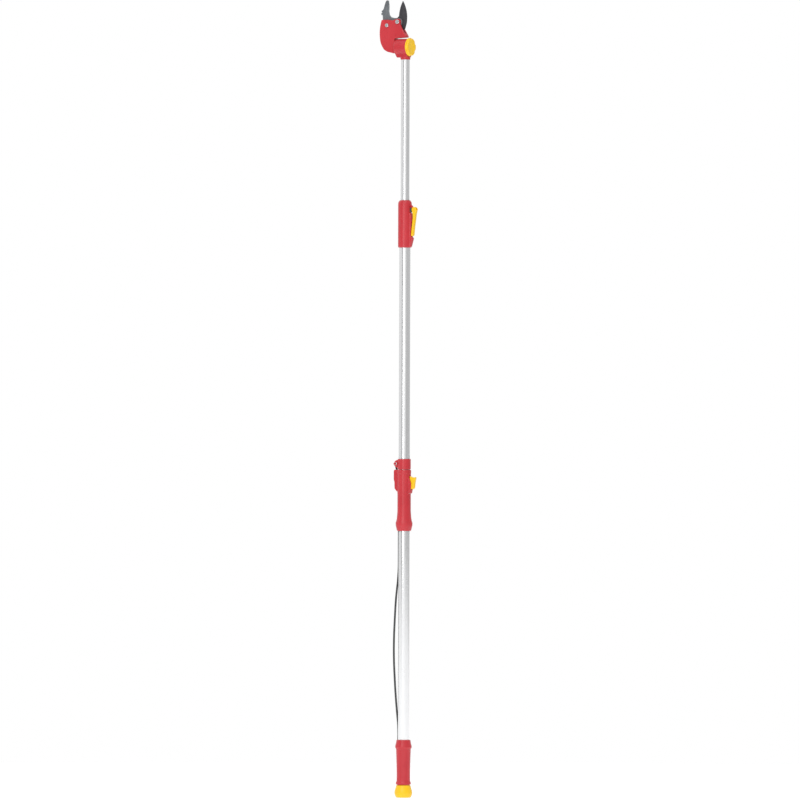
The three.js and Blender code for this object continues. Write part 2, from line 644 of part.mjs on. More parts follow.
// The housing's outline; inset moves its long sides inwards.
function housingOutline(inset = 0) {
  const shape = new THREE.Shape();
  const i = inset;
  const lobe = pivotRadius + 5 - i;
  shape.moveTo(...at(-74.5 + i, 80 - i));
  smooth(shape, [at(-79.5 + i, 60), at(-81 + i, 38), at(-77.5 + i, 13), at(-67 + 0.7 * i, -6 + i)]);
  smooth(shape, [at(-56, -12.6 + i), at(housingRight - i, -18 + i)]);
  shape.lineTo(...at(housingRight - i, barrelRadius + 1.5 + i));
  shape.lineTo(...at(6.5 - i, barrelRadius + 3.6 + i));
  smooth(shape, [at(5.6 - i, 33), at(-2 - i, 45 - i), at(-8.6 - i, 56 - i)]);
  shape.absarc(pivotX, headZ(pivotRise), lobe, -0.2 * Math.PI, 0.62 * Math.PI, false);
  smooth(shape, [at(-38, 77.4 - i), at(-54, 79.6 - i), at(-74.5 + i, 80 - i)]);
  return shape;
}

function counterOutline() {
  const shape = new THREE.Shape();
  shape.moveTo(...at(-59.2, 136));
  smooth(shape, [at(-54.4, 132.5), at(-53, 120), at(-53.3, 103)]);
  smooth(shape, [at(-51.8, 94.5), at(-46.5, 88), at(-37.5, 85), at(-28, 84.4)]);
  shape.absarc(pivotX, headZ(pivotRise), pivotRadius + 7.8, 0.58 * Math.PI, -0.45 * Math.PI, true);
  smooth(shape, [at(-34, 60), at(-52, 56.5), at(-70, 57)]);
  smooth(shape, [at(-71.8, 68), at(-73.6, 82), at(-74.4, 93)]);
  shape.absarc(-75.6, headZ(97), 3.6, -0.35 * Math.PI, 0.3 * Math.PI, true);
  shape.absarc(-74.6, headZ(104.4), 3.2, -0.7 * Math.PI, 0.42 * Math.PI, true);
  smooth(shape, [at(-70.8, 113), at(-66.6, 126), at(-63, 134), at(-59.2, 136)]);
  return shape;
}

function cuttingOutline() {
  const shape = new THREE.Shape();
  shape.moveTo(...at(-9.4, 133));
  smooth(shape, [at(-15.8, 119), at(-20, 104), at(-22.1, 90)]);
  smooth(shape, [at(-26, 86.5), at(-31, 82), at(-32.5, 74)]);
  smooth(shape, [at(-35, 66.5), at(-44, 61.5), at(tackleX - 1.6, tackleRise + 5.8)]);
  shape.absarc(tackleX, headZ(tackleRise), 6, 0.58 * Math.PI, 1.62 * Math.PI, false);
  smooth(shape, [at(-40, 46.5), at(-26, 44.2), at(-12, 46.5), at(-2.1, 53)]);
  smooth(shape, [at(3, 70), at(4, 87), at(2.2, 104), at(-3.1, 121), at(-9.4, 133)]);
  return shape;
}

// A wire return spring round the pivot, behind the blade.
function bladeSpring() {
  const wire = 1;
  const radius = pivotRadius + gap + wire / 2 + 0.8;
  return coil([pivotX, bladeThickness + 1.2, headZ(pivotRise)], radius, wire, 1, 1.4);
}

function housingHoles() {
  const swivelBore = rod('x', swivelBoltRadius + gap, -52, 0, barrelCentre);
  return [
    rod('y', pivotRadius + gap, -40, 40, pivot),
    rod('y', housingScrewRadius + gap, -40, 40, [housingScrewX, 0, headZ(housingScrewRise)]),
    rod('y', 2 + gap, -40, 40, [fixedPulleyX, 0, headZ(fixedPulleyRise)]),
    swivelBore,
  ];
}

function makeHousing() {
  const counterFace = -counterThickness - 2 * gap;
  const bladeFace = bladeThickness + 2 * gap;
  const pocket = housingOutline(housingWall);
  const front = cut(plate(housingOutline(), -housingHalf, counterFace),
    plate(pocket, -housingHalf + housingWall, 0), ...housingHoles());
  place('housing_front', front, redPlastic);
  const wall = cut(plate(housingOutline(), counterFace + gap, housingHalf),
    plate(pocket, counterFace - 1, housingHalf - housingWall));
  const mouth = polygon([
    at(-73, 52), at(-50, 44), at(-12, 40), at(20, 40), at(20, 120), at(-75.4, 120), at(-75.4, 76),
    at(-73, 70),
  ]);
  const rear = cut(wall, plate(mouth, counterFace - 1, bladeFace), ...housingHoles());
  place('housing_rear', rear, redPlastic);
}

function makeBlades() {
  const near = gap / 2 + 0.05;
  const pivotHole = rod('y', pivotRadius + gap, -40, 40, pivot);
  const screwHole = rod('y', housingScrewRadius + gap, -40, 40,
    [housingScrewX, 0, headZ(housingScrewRise)]);
  const tacklePlace = [tackleX, 0, headZ(tackleRise)];
  const tackleHole = rod('y', 2 + gap, -40, 40, tacklePlace);
  place('counter_blade', cut(plate(counterOutline(), -near - counterThickness, -near),
    pivotHole, screwHole), greyBlade);
  place('cutting_blade', cut(plate(cuttingOutline(), near, near + bladeThickness),
    pivotHole, tackleHole), coatedBlade);
  const behind = near + bladeThickness + gap;
  place('tackle_pin', rod('y', 2, near, behind + pulleyThickness + 0.2, tacklePlace), steel);
  place('tackle_pulley', pulley(tacklePlace, behind, behind + pulleyThickness), greyPlastic);
}

// A grooved wheel turning on a pin along Y.
function pulley([x, y, z], y0, y1) {
  const hole = 2 + gap;
  const middle = (y0 + y1) / 2;
  return turnedAlong('y', [
    [hole, y0], [pulleyRadius, y0], [pulleyRadius, y0 + 0.6], [pulleyRadius - 1.8, middle - 0.6],
    [pulleyRadius - 1.8, middle + 0.6], [pulleyRadius, y1 - 0.6], [pulleyRadius, y1], [hole, y1],
    [hole, y0],
  ], [x, y, z], roundSmall);
}

function makeHeadHardware() {
  const face = housingHalf + gap;
  const pivotHead = pivotRadius + 2.2;
  place('pivot_bolt', turnedAlong('y', [
    [0, -face - 2.8], [pivotHead - 1.6, -face - 2.8], [pivotHead, -face - 1.6], [pivotHead, -face],
    [pivotRadius, -face], [pivotRadius, face + 5.4], [0, face + 5.4],
  ], pivot, roundSmall), steel);
  const room = rod('y', pivotRadius + gap, 0, 40, pivot);
  place('pivot_nut', cut(hexagon('y', 2 * pivotRadius + 4, face, face + 4.4, pivot), room), steel);
  const screwPlace = [housingScrewX, 0, headZ(housingScrewRise)];
  const screwHead = housingScrewRadius + 3.1;
  place('housing_screw', turnedAlong('y', [
    [0, -face - 1], [2, -face - 1], [2, -face - 2.4], [screwHead - 1.6, -face - 2.4],
    [screwHead, -face - 1.2], [screwHead, -face], [housingScrewRadius, -face],
    [housingScrewRadius, face + 3.6], [0, face + 3.6],
  ], screwPlace, roundSmall), steel);
  const screwRoom = rod('y', housingScrewRadius + gap, 0, 40, screwPlace);
  place('housing_nut', cut(hexagon('y', 2 * housingScrewRadius + 3, face, face + 3, screwPlace),
    screwRoom), steel);
  place('blade_spring', bladeSpring(), steel);

  const fixedPlace = [fixedPulleyX, 0, headZ(fixedPulleyRise)];
  place('fixed_pulley', pulley(fixedPlace, -pulleyThickness / 2, pulleyThickness / 2), greyPlastic);
  place('fixed_pulley_pin', rod('y', 2, -housingHalf + 0.6, housingHalf - 0.6, fixedPlace), steel);

  const flangeRight = housingRight - housingWall - gap;
  const bolt = turnedAlong('x', [
    [swivelBoltBore, flangeRight - 2.6], [swivelBoltFlange, flangeRight - 2.6],
    [swivelBoltFlange, flangeRight], [swivelBoltRadius, flangeRight],
    [swivelBoltRadius, barrelRight + swivelKnobThickness - 4],
    [swivelBoltBore, barrelRight + swivelKnobThickness - 4], [swivelBoltBore, flangeRight - 2.6],
  ], barrelCentre, roundSmall);
  const mouth = block(-7, 7, -6, 6, swivelHeight - 20, swivelHeight);
  place('swivel_bolt', cut(bolt, mouth), steel);
  const lane = fixedPulleyX + pulleyRadius + gap;
  place('head_strap', block(lane, lane + strapThickness, -3, 3, headZ(fixedPulleyRise) + 2,
    headZ(tackleRise) - 12), blackStrap);
}

makeOuterTube();
makeInnerTube();
makeLowerGrip();
makeEndKnob();
makeCollar();
makeHandle();
makeTrigger();
makeStrapJaw();
makeStraps();
makeClamp();
makeLever();
makeBracket();
makeSwivelKnob();
makeHousing();
makeBlades();
makeHeadHardware();

export default assembly;
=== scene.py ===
"""Telescopic pull-strap pole pruner: the looks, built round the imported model."""
import json
import math

import bmesh
import bpy
import numpy as np
from mathutils import Matrix, Vector


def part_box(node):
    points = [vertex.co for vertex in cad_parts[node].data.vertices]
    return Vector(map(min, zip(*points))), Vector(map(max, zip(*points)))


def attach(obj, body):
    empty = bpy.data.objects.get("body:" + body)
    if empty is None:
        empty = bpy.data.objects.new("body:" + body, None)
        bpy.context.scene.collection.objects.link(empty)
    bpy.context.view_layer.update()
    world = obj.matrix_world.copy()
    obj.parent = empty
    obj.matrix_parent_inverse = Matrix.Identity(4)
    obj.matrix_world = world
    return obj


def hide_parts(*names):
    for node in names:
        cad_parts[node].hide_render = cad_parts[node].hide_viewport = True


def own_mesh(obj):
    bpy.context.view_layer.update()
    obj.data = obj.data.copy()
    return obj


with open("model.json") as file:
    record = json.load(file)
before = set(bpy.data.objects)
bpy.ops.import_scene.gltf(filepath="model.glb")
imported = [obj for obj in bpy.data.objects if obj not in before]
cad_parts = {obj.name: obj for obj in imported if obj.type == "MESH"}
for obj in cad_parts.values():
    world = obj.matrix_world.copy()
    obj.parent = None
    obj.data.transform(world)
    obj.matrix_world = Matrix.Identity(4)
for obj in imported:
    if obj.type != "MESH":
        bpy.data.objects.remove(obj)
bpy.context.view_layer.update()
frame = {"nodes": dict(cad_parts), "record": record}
nodes = frame["nodes"]
MM = 0.001


# ---------------------------------------------------------------- camera
def make_camera():
    """A long lens at half the tool's height, 30 degrees round from the front."""
    distance = 24
    azimuth = math.radians(30)
    view_height = 2.304
    centre_height = view_height / 2 - 0.0072
    side = -0.0127
    lean = math.radians(0.165)
    camera = bpy.data.objects.new("camera", bpy.data.cameras.new("camera"))
    bpy.context.scene.collection.objects.link(camera)
    away = Vector((math.sin(azimuth), -math.cos(azimuth), 0))
    right = Vector((math.cos(azimuth), math.sin(azimuth), 0))
    camera.location = away * distance + right * side + Vector((0, 0, centre_height))
    turn = (-away).to_track_quat("-Z", "Y").to_matrix().to_4x4()
    camera.rotation_euler = (turn @ Matrix.Rotation(lean, 4, "Z")).to_euler()
    camera.data.sensor_width = 36
    camera.data.lens = 36 * distance / view_height
    camera.data.clip_end = 120
    bpy.context.scene.camera = camera


make_camera()


# ---------------------------------------------------------------- materials
def linear(code):
    """An sRGB hex colour as linear red, green and blue."""
    values = np.array([int(code[i:i + 2], 16) for i in (1, 3, 5)]) / 255
    values = np.where(values <= 0.04045, values / 12.92, ((values + 0.055) / 1.055) ** 2.4)
    return (*values.tolist(), 1.0)


def node(tree, kind, settings=None, links=None, values=None):
    """Adds one shader node with its settings, its linked inputs and its fixed values."""
    made = tree.nodes.new(kind)
    for name, value in (settings or {}).items():
        setattr(made, name, value)
    for name, value in (values or {}).items():
        made.inputs[name].default_value = value
    for name, source in (links or {}).items():
        tree.links.new(source, made.inputs[name])
    return made


def ramp(tree, source, stops):
    """A colour ramp from [(position, hex colour)] stops."""
    made = node(tree, "ShaderNodeValToRGB", links={"Fac": source})
    elements = made.color_ramp.elements
    while len(elements) < len(stops):
        elements.new(0.5)
    for element, (position, code) in zip(elements, stops):
        element.position = position
        element.color = linear(code)
    return made.outputs["Color"]


def grey_ramp(tree, source, low, high, start=0.3, end=0.7):
    """A noise turned into a value from low to high."""
    made = node(tree, "ShaderNodeMapRange", links={"Value": source},
                values={"From Min": start, "From Max": end, "To Min": low, "To Max": high})
    return made.outputs["Result"]


def new_material(name, values):
    material = bpy.data.materials.new(name)
    material.use_nodes = True
    tree = material.node_tree
    shader = tree.nodes["Principled BSDF"]
    for key, value in values.items():
        shader.inputs[key].default_value = value
    return material, tree, shader


def object_noise(tree, size_mm, stretch=(1, 1, 1), detail=2.0, roughness=0.5):
    """Noise whose features are about size_mm wide, in object space, drawn out by stretch."""
    coords = node(tree, "ShaderNodeTexCoord").outputs["Object"]
    scale = tuple(1 / (size_mm * MM * s) for s in stretch)
    mapping = node(tree, "ShaderNodeMapping", links={"Vector": coords}, values={"Scale": scale})
    noise = node(tree, "ShaderNodeTexNoise", links={"Vector": mapping.outputs["Vector"]},
                 values={"Scale": 1.0, "Detail": detail, "Roughness": roughness})
    return noise.outputs["Fac"]


def add_bump(tree, shader, height, depth_mm):
    bump = node(tree, "ShaderNodeBump", links={"Height": height},
                values={"Strength": 1.0, "Distance": depth_mm * MM})
    tree.links.new(bump.outputs["Normal"], shader.inputs["Normal"])


def moulded_plastic(name, base, light, rough=(0.3, 0.42)):
    """Glass-filled nylon from a spark-eroded mould: even colour, soft gloss, a fine leather-like
    grain 0.7 mm wide that breaks the highlight, and slight clouding from the melt's flow."""
    material, tree, shader = new_material(name, {"IOR": 1.5, "Coat Weight": 0.12,
                                                 "Coat Roughness": 0.25})
    clouds = object_noise(tree, 26, stretch=(1, 1, 2.5))
    tree.links.new(ramp(tree, clouds, [(0.3, base), (0.7, light)]), shader.inputs["Base Color"])
    grain = object_noise(tree, 0.7, detail=3)
    tree.links.new(grey_ramp(tree, grain, rough[0], rough[1]), shader.inputs["Roughness"])
    add_bump(tree, shader, grain, 0.012)
    return material


def anodised_aluminium(name):
    """Drawn aluminium tube, satin anodised: bright, with faint die lines running up the tube and a
    slow change of gloss along it. The lines are drawn about 0.5 mm wide so that they show."""
    material, tree, shader = new_material(name, {"Metallic": 1.0})
    tone = object_noise(tree, 0.5, stretch=(1, 1, 400), detail=3)
    tree.links.new(ramp(tree, tone, [(0.3, "#E2E3E4"), (0.7, "#EFEFF0")]), shader.inputs["Base Color"])
    gloss = object_noise(tree, 14, stretch=(1, 1, 8), detail=3)
    tree.links.new(grey_ramp(tree, gloss, 0.2, 0.28), shader.inputs["Roughness"])
    add_bump(tree, shader, tone, 0.008)
    return material


def zinc_plate(name):
    """Zinc-plated steel screws: bright, slightly blotched, with fine scratches from the tool."""
    material, tree, shader = new_material(name, {"Metallic": 1.0})
    blotch = object_noise(tree, 2.2, detail=4)
    tree.links.new(ramp(tree, blotch, [(0.3, "#B4B7BA"), (0.7, "#D6D7D8")]), shader.inputs["Base Color"])
    scratch = object_noise(tree, 0.5, stretch=(6, 1, 1), detail=2)
    tree.links.new(grey_ramp(tree, scratch, 0.2, 0.38), shader.inputs["Roughness"])
    add_bump(tree, shader, scratch, 0.012)
    return material


def coated_steel(name, dark, light, gloss):
    """Steel with a baked non-stick coat: low sheen, a fine orange peel and paler rubbed patches."""
    material, tree, shader = new_material(name, {"Metallic": 0.35, "IOR": 1.5})
    rubbed = object_noise(tree, 11, stretch=(1, 1, 1.8), detail=5, roughness=0.62)
    tree.links.new(ramp(tree, rubbed, [(0.35, dark), (0.72, light)]), shader.inputs["Base Color"])
    tree.links.new(grey_ramp(tree, rubbed, gloss + 0.08, gloss - 0.06), shader.inputs["Roughness"])
    peel = object_noise(tree, 0.7, detail=2)
    add_bump(tree, shader, peel, 0.02)
    return material


def webbing(name):
    """Woven polyester webbing, dyed black: crosswise picks 1.7 mm apart over lengthwise ribs 1.25 mm
    apart, matt with a soft sheen. Both are drawn a little coarser than the real 1 mm weave."""
    material, tree, shader = new_material(name, {"Sheen Weight": 0.35, "Sheen Roughness": 0.5,
                                                 "IOR": 1.45})
    coords = node(tree, "ShaderNodeTexCoord").outputs["Object"]
    heights = []
    for direction, pitch_mm in (("Z", 1.7), ("Y", 1.25)):
        scale = 1 / (pitch_mm * MM)
        mapping = node(tree, "ShaderNodeMapping", links={"Vector": coords},
                       values={"Scale": (scale, scale, scale)})
        wave = node(tree, "ShaderNodeTexWave", {"bands_direction": direction},
                    {"Vector": mapping.outputs["Vector"]}, {"Scale": math.pi / 10, "Distortion": 0.4,
                                                            "Detail": 1.0, "Detail Scale": 0.5})
        heights.append(wave.outputs["Fac"])
    weave = node(tree, "ShaderNodeMath", {"operation": "MULTIPLY"})
    tree.links.new(heights[0], weave.inputs[0])
    tree.links.new(heights[1], weave.inputs[1])
    weave = weave.outputs["Value"]
    tree.links.new(ramp(tree, weave, [(0.0, "#141516"), (0.8, "#3A3D40")]), shader.inputs["Base Color"])
    fuzz = object_noise(tree, 3, detail=3)
    tree.links.new(grey_ramp(tree, fuzz, 0.68, 0.86), shader.inputs["Roughness"])
    add_bump(tree, shader, weave, 0.25)
    return material


finishes = {
    "red_plastic": moulded_plastic("glass_filled_nylon_red", "#BC222E", "#C72D37"),
    "yellow_plastic": moulded_plastic("glass_filled_nylon_yellow", "#F5C000", "#FCCB00"),
    "grey_plastic": moulded_plastic("acetal_grey", "#46484B", "#525558", rough=(0.45, 0.55)),
    "aluminium_tube": anodised_aluminium("anodised_aluminium"),
    "steel": zinc_plate("zinc_plated_steel"),
    "blade_coating": coated_steel("blade_coating_black", "#37363A", "#4C4A4E", 0.42),
    "hook_coating": coated_steel("hook_coating_grey", "#62666A", "#7C8083", 0.46),
    "strap": webbing("polyester_webbing"),
}
for part in frame["record"]["subparts"]:
    nodes[part["node"]].data.materials.clear()
    nodes[part["node"]].data.materials.append(finishes[part["material_slot"]])


# ---------------------------------------------------------------- shapes, in millimetres
# A shape is its points and its faces. An outline is a closed line of [x, z] points, anticlockwise.
def grid_faces(rows, columns, close_rows=False, close_columns=True):
    """Quads over a grid numbered row by row; a closed direction joins its last line to its first."""
    row = np.arange(rows if close_rows else rows - 1)[:, None]
    column = np.arange(columns if close_columns else columns - 1)[None, :]
    low, high = row * columns, (row + 1) % rows * columns
    left, right = column, (column + 1) % columns
    return np.stack([low + left, low + right, high + right, high + left], -1).reshape(-1, 4).tolist()


def merged(*shapes):
    """Several shapes in one mesh."""
    points, faces, count = [], [], 0
    for some_points, some_faces in shapes:
        points.append(some_points)
        faces += [[corner + count for corner in face] for face in some_faces]
        count += len(some_points)
    return np.concatenate(points), faces


def rounded(points, reach, steps=6, closed=True):
    """Each corner becomes a quadratic arc that starts `reach` from it, or at 45% of its shorter edge."""
    corner = np.array(points, float)
    back = np.roll(corner, 1, 0) - corner
    ahead = np.roll(corner, -1, 0) - corner
    back_length = np.linalg.norm(back, axis=1)
    ahead_length = np.linalg.norm(ahead, axis=1)
    cut = np.minimum(reach, 0.45 * np.minimum(back_length, ahead_length))
    start = corner + back * (cut / back_length)[:, None]
    end = corner + ahead * (cut / ahead_length)[:, None]
    t = np.linspace(0, 1, steps)[:, None, None]
    arcs = ((1 - t) ** 2 * start + 2 * t * (1 - t) * corner + t ** 2 * end).transpose(1, 0, 2)
    if closed:
        return arcs.reshape(-1, 2)
    return np.concatenate([corner[:1], arcs[1:-1].reshape(-1, 2), corner[-1:]])


def arc(x, z, radius, start, end, steps=16):
    """A circle's points from one angle to another, in degrees from +X towards +Z."""
    angle = np.radians(np.linspace(start, end, steps))
    return np.stack([x + radius * np.cos(angle), z + radius * np.sin(angle)], 1)


def curve(points, steps=8):
    """A Catmull-Rom curve through points of any dimension, with its end tangents mirrored."""
    p = np.array(points, float)
    p = np.concatenate([2 * p[:1] - p[1:2], p, 2 * p[-1:] - p[-2:-1]])
    a, b, c, d = (p[i:len(p) - 3 + i, None] for i in range(4))
    t = np.linspace(0, 1, steps, endpoint=False)[None, :, None]
    line = 0.5 * (2 * b + (c - a) * t + (2 * a - 5 * b + 4 * c - d) * t ** 2
                  + (3 * b - a - 3 * c + d) * t ** 3)
    return np.concatenate([line.reshape(-1, p.shape[1]), p[-2:-1]])


def evened(outline, spacing=0.7, soften=0.0):
    """A closed outline respaced evenly; soften averages it over that many millimetres."""
    loop = np.concatenate([outline, outline[:1]])
    along = np.concatenate([[0], np.cumsum(np.linalg.norm(np.diff(loop, axis=0), axis=1))])
    places = np.linspace(0, along[-1], int(along[-1] / spacing), endpoint=False)
    line = np.stack([np.interp(places, along, loop[:, i]) for i in (0, 1)], 1)
    reach = int(soften / spacing / 2)
    return np.mean([np.roll(line, shift, 0) for shift in range(-reach, reach + 1)], axis=0)


def turned(profile, axis="z", centre=(0, 0, 0), segments=112):
    """A closed profile of (radius, along) turned about an axis: radius r at angle a lies at
    (r cos a, r sin a). A radius may be an array over the angles, for hexagons and lobes."""
    angle = np.linspace(0, 2 * np.pi, segments, endpoint=False)
    radius = np.array([np.broadcast_to(r, segments) for r, along in profile], float)
    along = np.array([along for r, along in profile], float)
    ring = np.stack([radius * np.cos(angle), radius * np.sin(angle),
                     np.repeat(along[:, None], segments, 1)], -1)
    order = {"x": (2, 0, 1), "y": (0, 2, 1), "z": (0, 1, 2)}[axis]
    points = ring[..., order].reshape(-1, 3) + np.array(centre, float)
    return points, grid_faces(len(profile), segments, close_rows=True)


def hexagon(half_flat, segments=112):
    """The polar radius of a hexagon: half its width across flats over the cosine to the near flat."""
    angle = np.linspace(0, 2 * np.pi, segments, endpoint=False)
    return half_flat / np.cos((angle + np.pi / 6) % (np.pi / 3) - np.pi / 6)


def plate(outline, levels):
    """A flat piece stacked from rings: each level (inset, y) is the outline moved inwards by inset,
    at y. Both may be arrays along the outline. The first and last rings are closed by flat faces."""
    tangent = np.roll(outline, -1, 0) - np.roll(outline, 1, 0)
    tangent /= np.linalg.norm(tangent, axis=1)[:, None]
    inward = np.stack([-tangent[:, 1], tangent[:, 0]], 1)
    count = len(outline)
    rings = []
    for inset, y in levels:
        moved = outline + inward * np.broadcast_to(inset, count)[:, None]
        rings.append(np.stack([moved[:, 0], np.broadcast_to(y, count), moved[:, 1]], 1))
    last = (len(rings) - 1) * count
    faces = grid_faces(len(rings), count)
    faces += [list(range(count)), list(range(last, last + count))]
    return np.concatenate(rings), faces


def edge_levels(y_from, y_to, radius, steps=5):
    """Levels of a plate between two faces whose edges are rounded: at depth r (1 - cos t) the inset is
    r (1 - sin t)."""
    t = np.linspace(0, np.pi / 2, steps)
    inset = radius * (1 - np.sin(t))
    depth = radius * (1 - np.cos(t))
    sign = np.sign(y_to - y_from)
    near = [(i, y_from + sign * d) for i, d in zip(inset, depth)]
    far = [(i, y_to - sign * d) for i, d in zip(inset[::-1], depth[::-1])]
    return near + far


def box_radius(angle, toward, reach, half, power=14):
    """Polar radius of a rounded box that stands out to `reach` toward one side and `half` across:
    the superellipse (cos a / reach)^n + (sin a / half)^n = 1 / r^n, and 0 behind the axis."""
    cosine = np.cos(angle - toward)
    sine = np.abs(np.sin(angle - toward))
    total = (np.maximum(cosine, 0.001) / reach) ** power + (sine / half) ** power
    return np.where(cosine > 0, total ** (-1 / power), 0)


def melted(a, b, width=0.6):
    """The larger of two radii, with the corner between them filled over about `width`."""
    return width * np.logaddexp(a / width, b / width)


def sleeve(height, outer, inner, angle, half=False):
    """A wall round Z: row i holds the outer radius at height[i] over the angles, then the inner radius
    from the top back down. A half sleeve is closed by its two seam faces, a hair from the plane y = 0."""
    radius = np.concatenate([outer, inner[::-1]])
    level = np.concatenate([height, height[::-1]])
    x, y = radius * np.cos(angle), radius * np.sin(angle)
    if half:
        side = np.sign(np.sin(angle[len(angle) // 2]))
        y = side * np.maximum(side * y, 0.15)
    points = np.stack([x, y, np.repeat(level[:, None], len(angle), 1)], -1).reshape(-1, 3)
    faces = grid_faces(len(level), len(angle), close_rows=True, close_columns=not half)
    if half:
        starts = np.arange(len(level)) * len(angle)
        faces += [starts.tolist(), (starts + len(angle) - 1).tolist()]
    return points, faces


def band(route, width, thickness):
    """Webbing carried along (x, z) points in the plane y = 0: at each point a rounded strip, the
    superellipse |a|^8 + |b|^8 = 1 with a across Y and b across the line."""
    angle = np.linspace(0, 2 * np.pi, 28, endpoint=False)
    across = np.sign(np.cos(angle)) * np.abs(np.cos(angle)) ** 0.35 * width / 2
    through = np.sign(np.sin(angle)) * np.abs(np.sin(angle)) ** 0.35 * thickness / 2
    tangent = np.gradient(route, axis=0)
    tangent /= np.linalg.norm(tangent, axis=1)[:, None]
    x = route[:, 0, None] - tangent[:, 1, None] * through
    z = route[:, 1, None] + tangent[:, 0, None] * through
    y = np.broadcast_to(across, x.shape)
    rows, columns = x.shape
    faces = grid_faces(rows, columns)
    faces += [list(range(columns)), list(range((rows - 1) * columns, rows * columns))]
    return np.stack([x, y, z], -1).reshape(-1, 3), faces


# ---------------------------------------------------------------- pieces
def raw_object(name, shape):
    """A mesh object from a shape, doubles merged and faces turned outwards."""
    points, faces = shape
    mesh = bpy.data.meshes.new(name)
    mesh.from_pydata((points * MM).tolist(), [], faces)
    build = bmesh.new()
    build.from_mesh(mesh)
    bmesh.ops.remove_doubles(build, verts=build.verts, dist=1e-6)
    bmesh.ops.dissolve_degenerate(build, edges=build.edges, dist=1e-7)
    bmesh.ops.recalc_face_normals(build, faces=build.faces)
    build.to_mesh(mesh)
    build.free()
    made = bpy.data.objects.new(name, mesh)
    bpy.context.scene.collection.objects.link(made)
    return made


def apply_modifiers(made):
    """The mesh as its modifiers leave it, with none left on it."""
    graph = bpy.context.evaluated_depsgraph_get()
    finished = bpy.data.meshes.new_from_object(made.evaluated_get(graph))
    made.modifiers.clear()
    made.data = finished


def cut_away(made, *shapes):
    """Takes shapes out of a piece."""
    for shape in shapes:
        cutter = raw_object("cutter", shape)
        modifier = made.modifiers.new("cut", "BOOLEAN")
        modifier.operation = "DIFFERENCE"
        modifier.solver = "EXACT"
        modifier.object = cutter
        apply_modifiers(made)
        bpy.data.objects.remove(cutter)


def fuse(made, voxel, rounds):
    """Joins overlapping closed shells into one skin and rounds its edges, as a moulding has."""
    remesh = made.modifiers.new("fuse", "REMESH")
    remesh.mode = "VOXEL"
    remesh.voxel_size = voxel * MM
    smooth = made.modifiers.new("round", "SMOOTH")
    smooth.factor = 0.5
    smooth.iterations = rounds
    apply_modifiers(made)


def finish_piece(made, body, slot, replaced=(), sharp=35):
    """Gives a piece its finish, its smooth shading with sharp edges kept, its body and its nodes."""
    made.data.materials.clear()
    made.data.materials.append(finishes[slot])
    made.data.shade_smooth()
    made.data.set_sharp_from_angle(angle=math.radians(sharp))
    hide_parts(*(replaced or (made.name.removesuffix("_skin"),)))
    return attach(made, body)


def piece(node_name, body, slot, shape, cuts=(), sharp=35):
    """A fine skin for one CAD node."""
    made = raw_object(node_name + "_skin", shape)
    cut_away(made, *cuts)
    return finish_piece(made, body, slot, sharp=sharp)


# ---------------------------------------------------------------- sizes taken from the frame
def box_mm(name):
    """A CAD node's lowest and highest corners in millimetres."""
    low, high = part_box(name)
    return np.array(low) / MM, np.array(high) / MM


def middle_mm(name):
    """The x and z of the middle of a CAD node's box."""
    low, high = box_mm(name)
    return (low[0] + high[0]) / 2, (low[2] + high[2]) / 2


def pin_hole(radius, x, z):
    """A cutter for a pin that lies along Y through x and z."""
    return turned([(0, -20), (radius, -20), (radius, 20), (0, 20)], "y", (x, 0, z), 48)


swivel_z = middle_mm("swivel_washer")[1]
outer_radius = box_mm("outer_tube")[1][0]
inner_radius = box_mm("inner_tube")[1][0]
handle_low = box_mm("handle_front")[0][2]
handle_top = box_mm("handle_front")[1][2]
clamp_low = box_mm("clamp_body")[0][2]
clamp_top = box_mm("clamp_body")[1][2]
gap = 0.3
channel_half = 5.6
channel_reach = outer_radius + 2.1
circle = np.linspace(0, 2 * np.pi, 240, endpoint=False)


def tube(radius, wall, low, high, sides=128):
    """A drawn tube with its cut ends broken by 0.3 mm."""
    corners = [(radius - wall, low), (radius, low), (radius, high), (radius - wall, high)]
    return turned(rounded(corners, 0.3, 3), segments=sides)


# ---------------------------------------------------------------- tubes, knob and lower grip
def make_tubes():
    for name, body, wall in (("outer_tube", "pole", 1.5), ("inner_tube", "inner_pole", 1.4),
                             ("knob_stem", "end_knob", 1.6)):
        low, high = box_mm(name)
        cuts = []
        if name == "outer_tube":
            middle = middle_mm("strap_roller")[1]
            outline = np.array([(-18, middle), (-12, middle), (-12, middle + 8), (-18, middle + 8)])
            cuts = [plate(outline, [(0, -channel_half), (0, channel_half)])]
        piece(name, body, "aluminium_tube", tube(high[0], wall, low[2], high[2]), cuts)


def make_end_knob():
    """A pot-shaped knob, its widest 13 mm up, with a slightly hollowed foot."""
    top = box_mm("end_knob")[1][2]
    stem = box_mm("knob_stem")[1][0] + gap
    profile = rounded([(0, 0.5), (17.5, 0.5), (18.5, 0), (21.3, 0), (24.6, 7), (25.75, 13), (25, 19),
                       (22, 29), (20.3, top), (stem, top), (stem, top - 24.3), (0, top - 24.3)], 2.2)
    piece("end_knob", "end_knob", "yellow_plastic", turned(profile, segments=160))


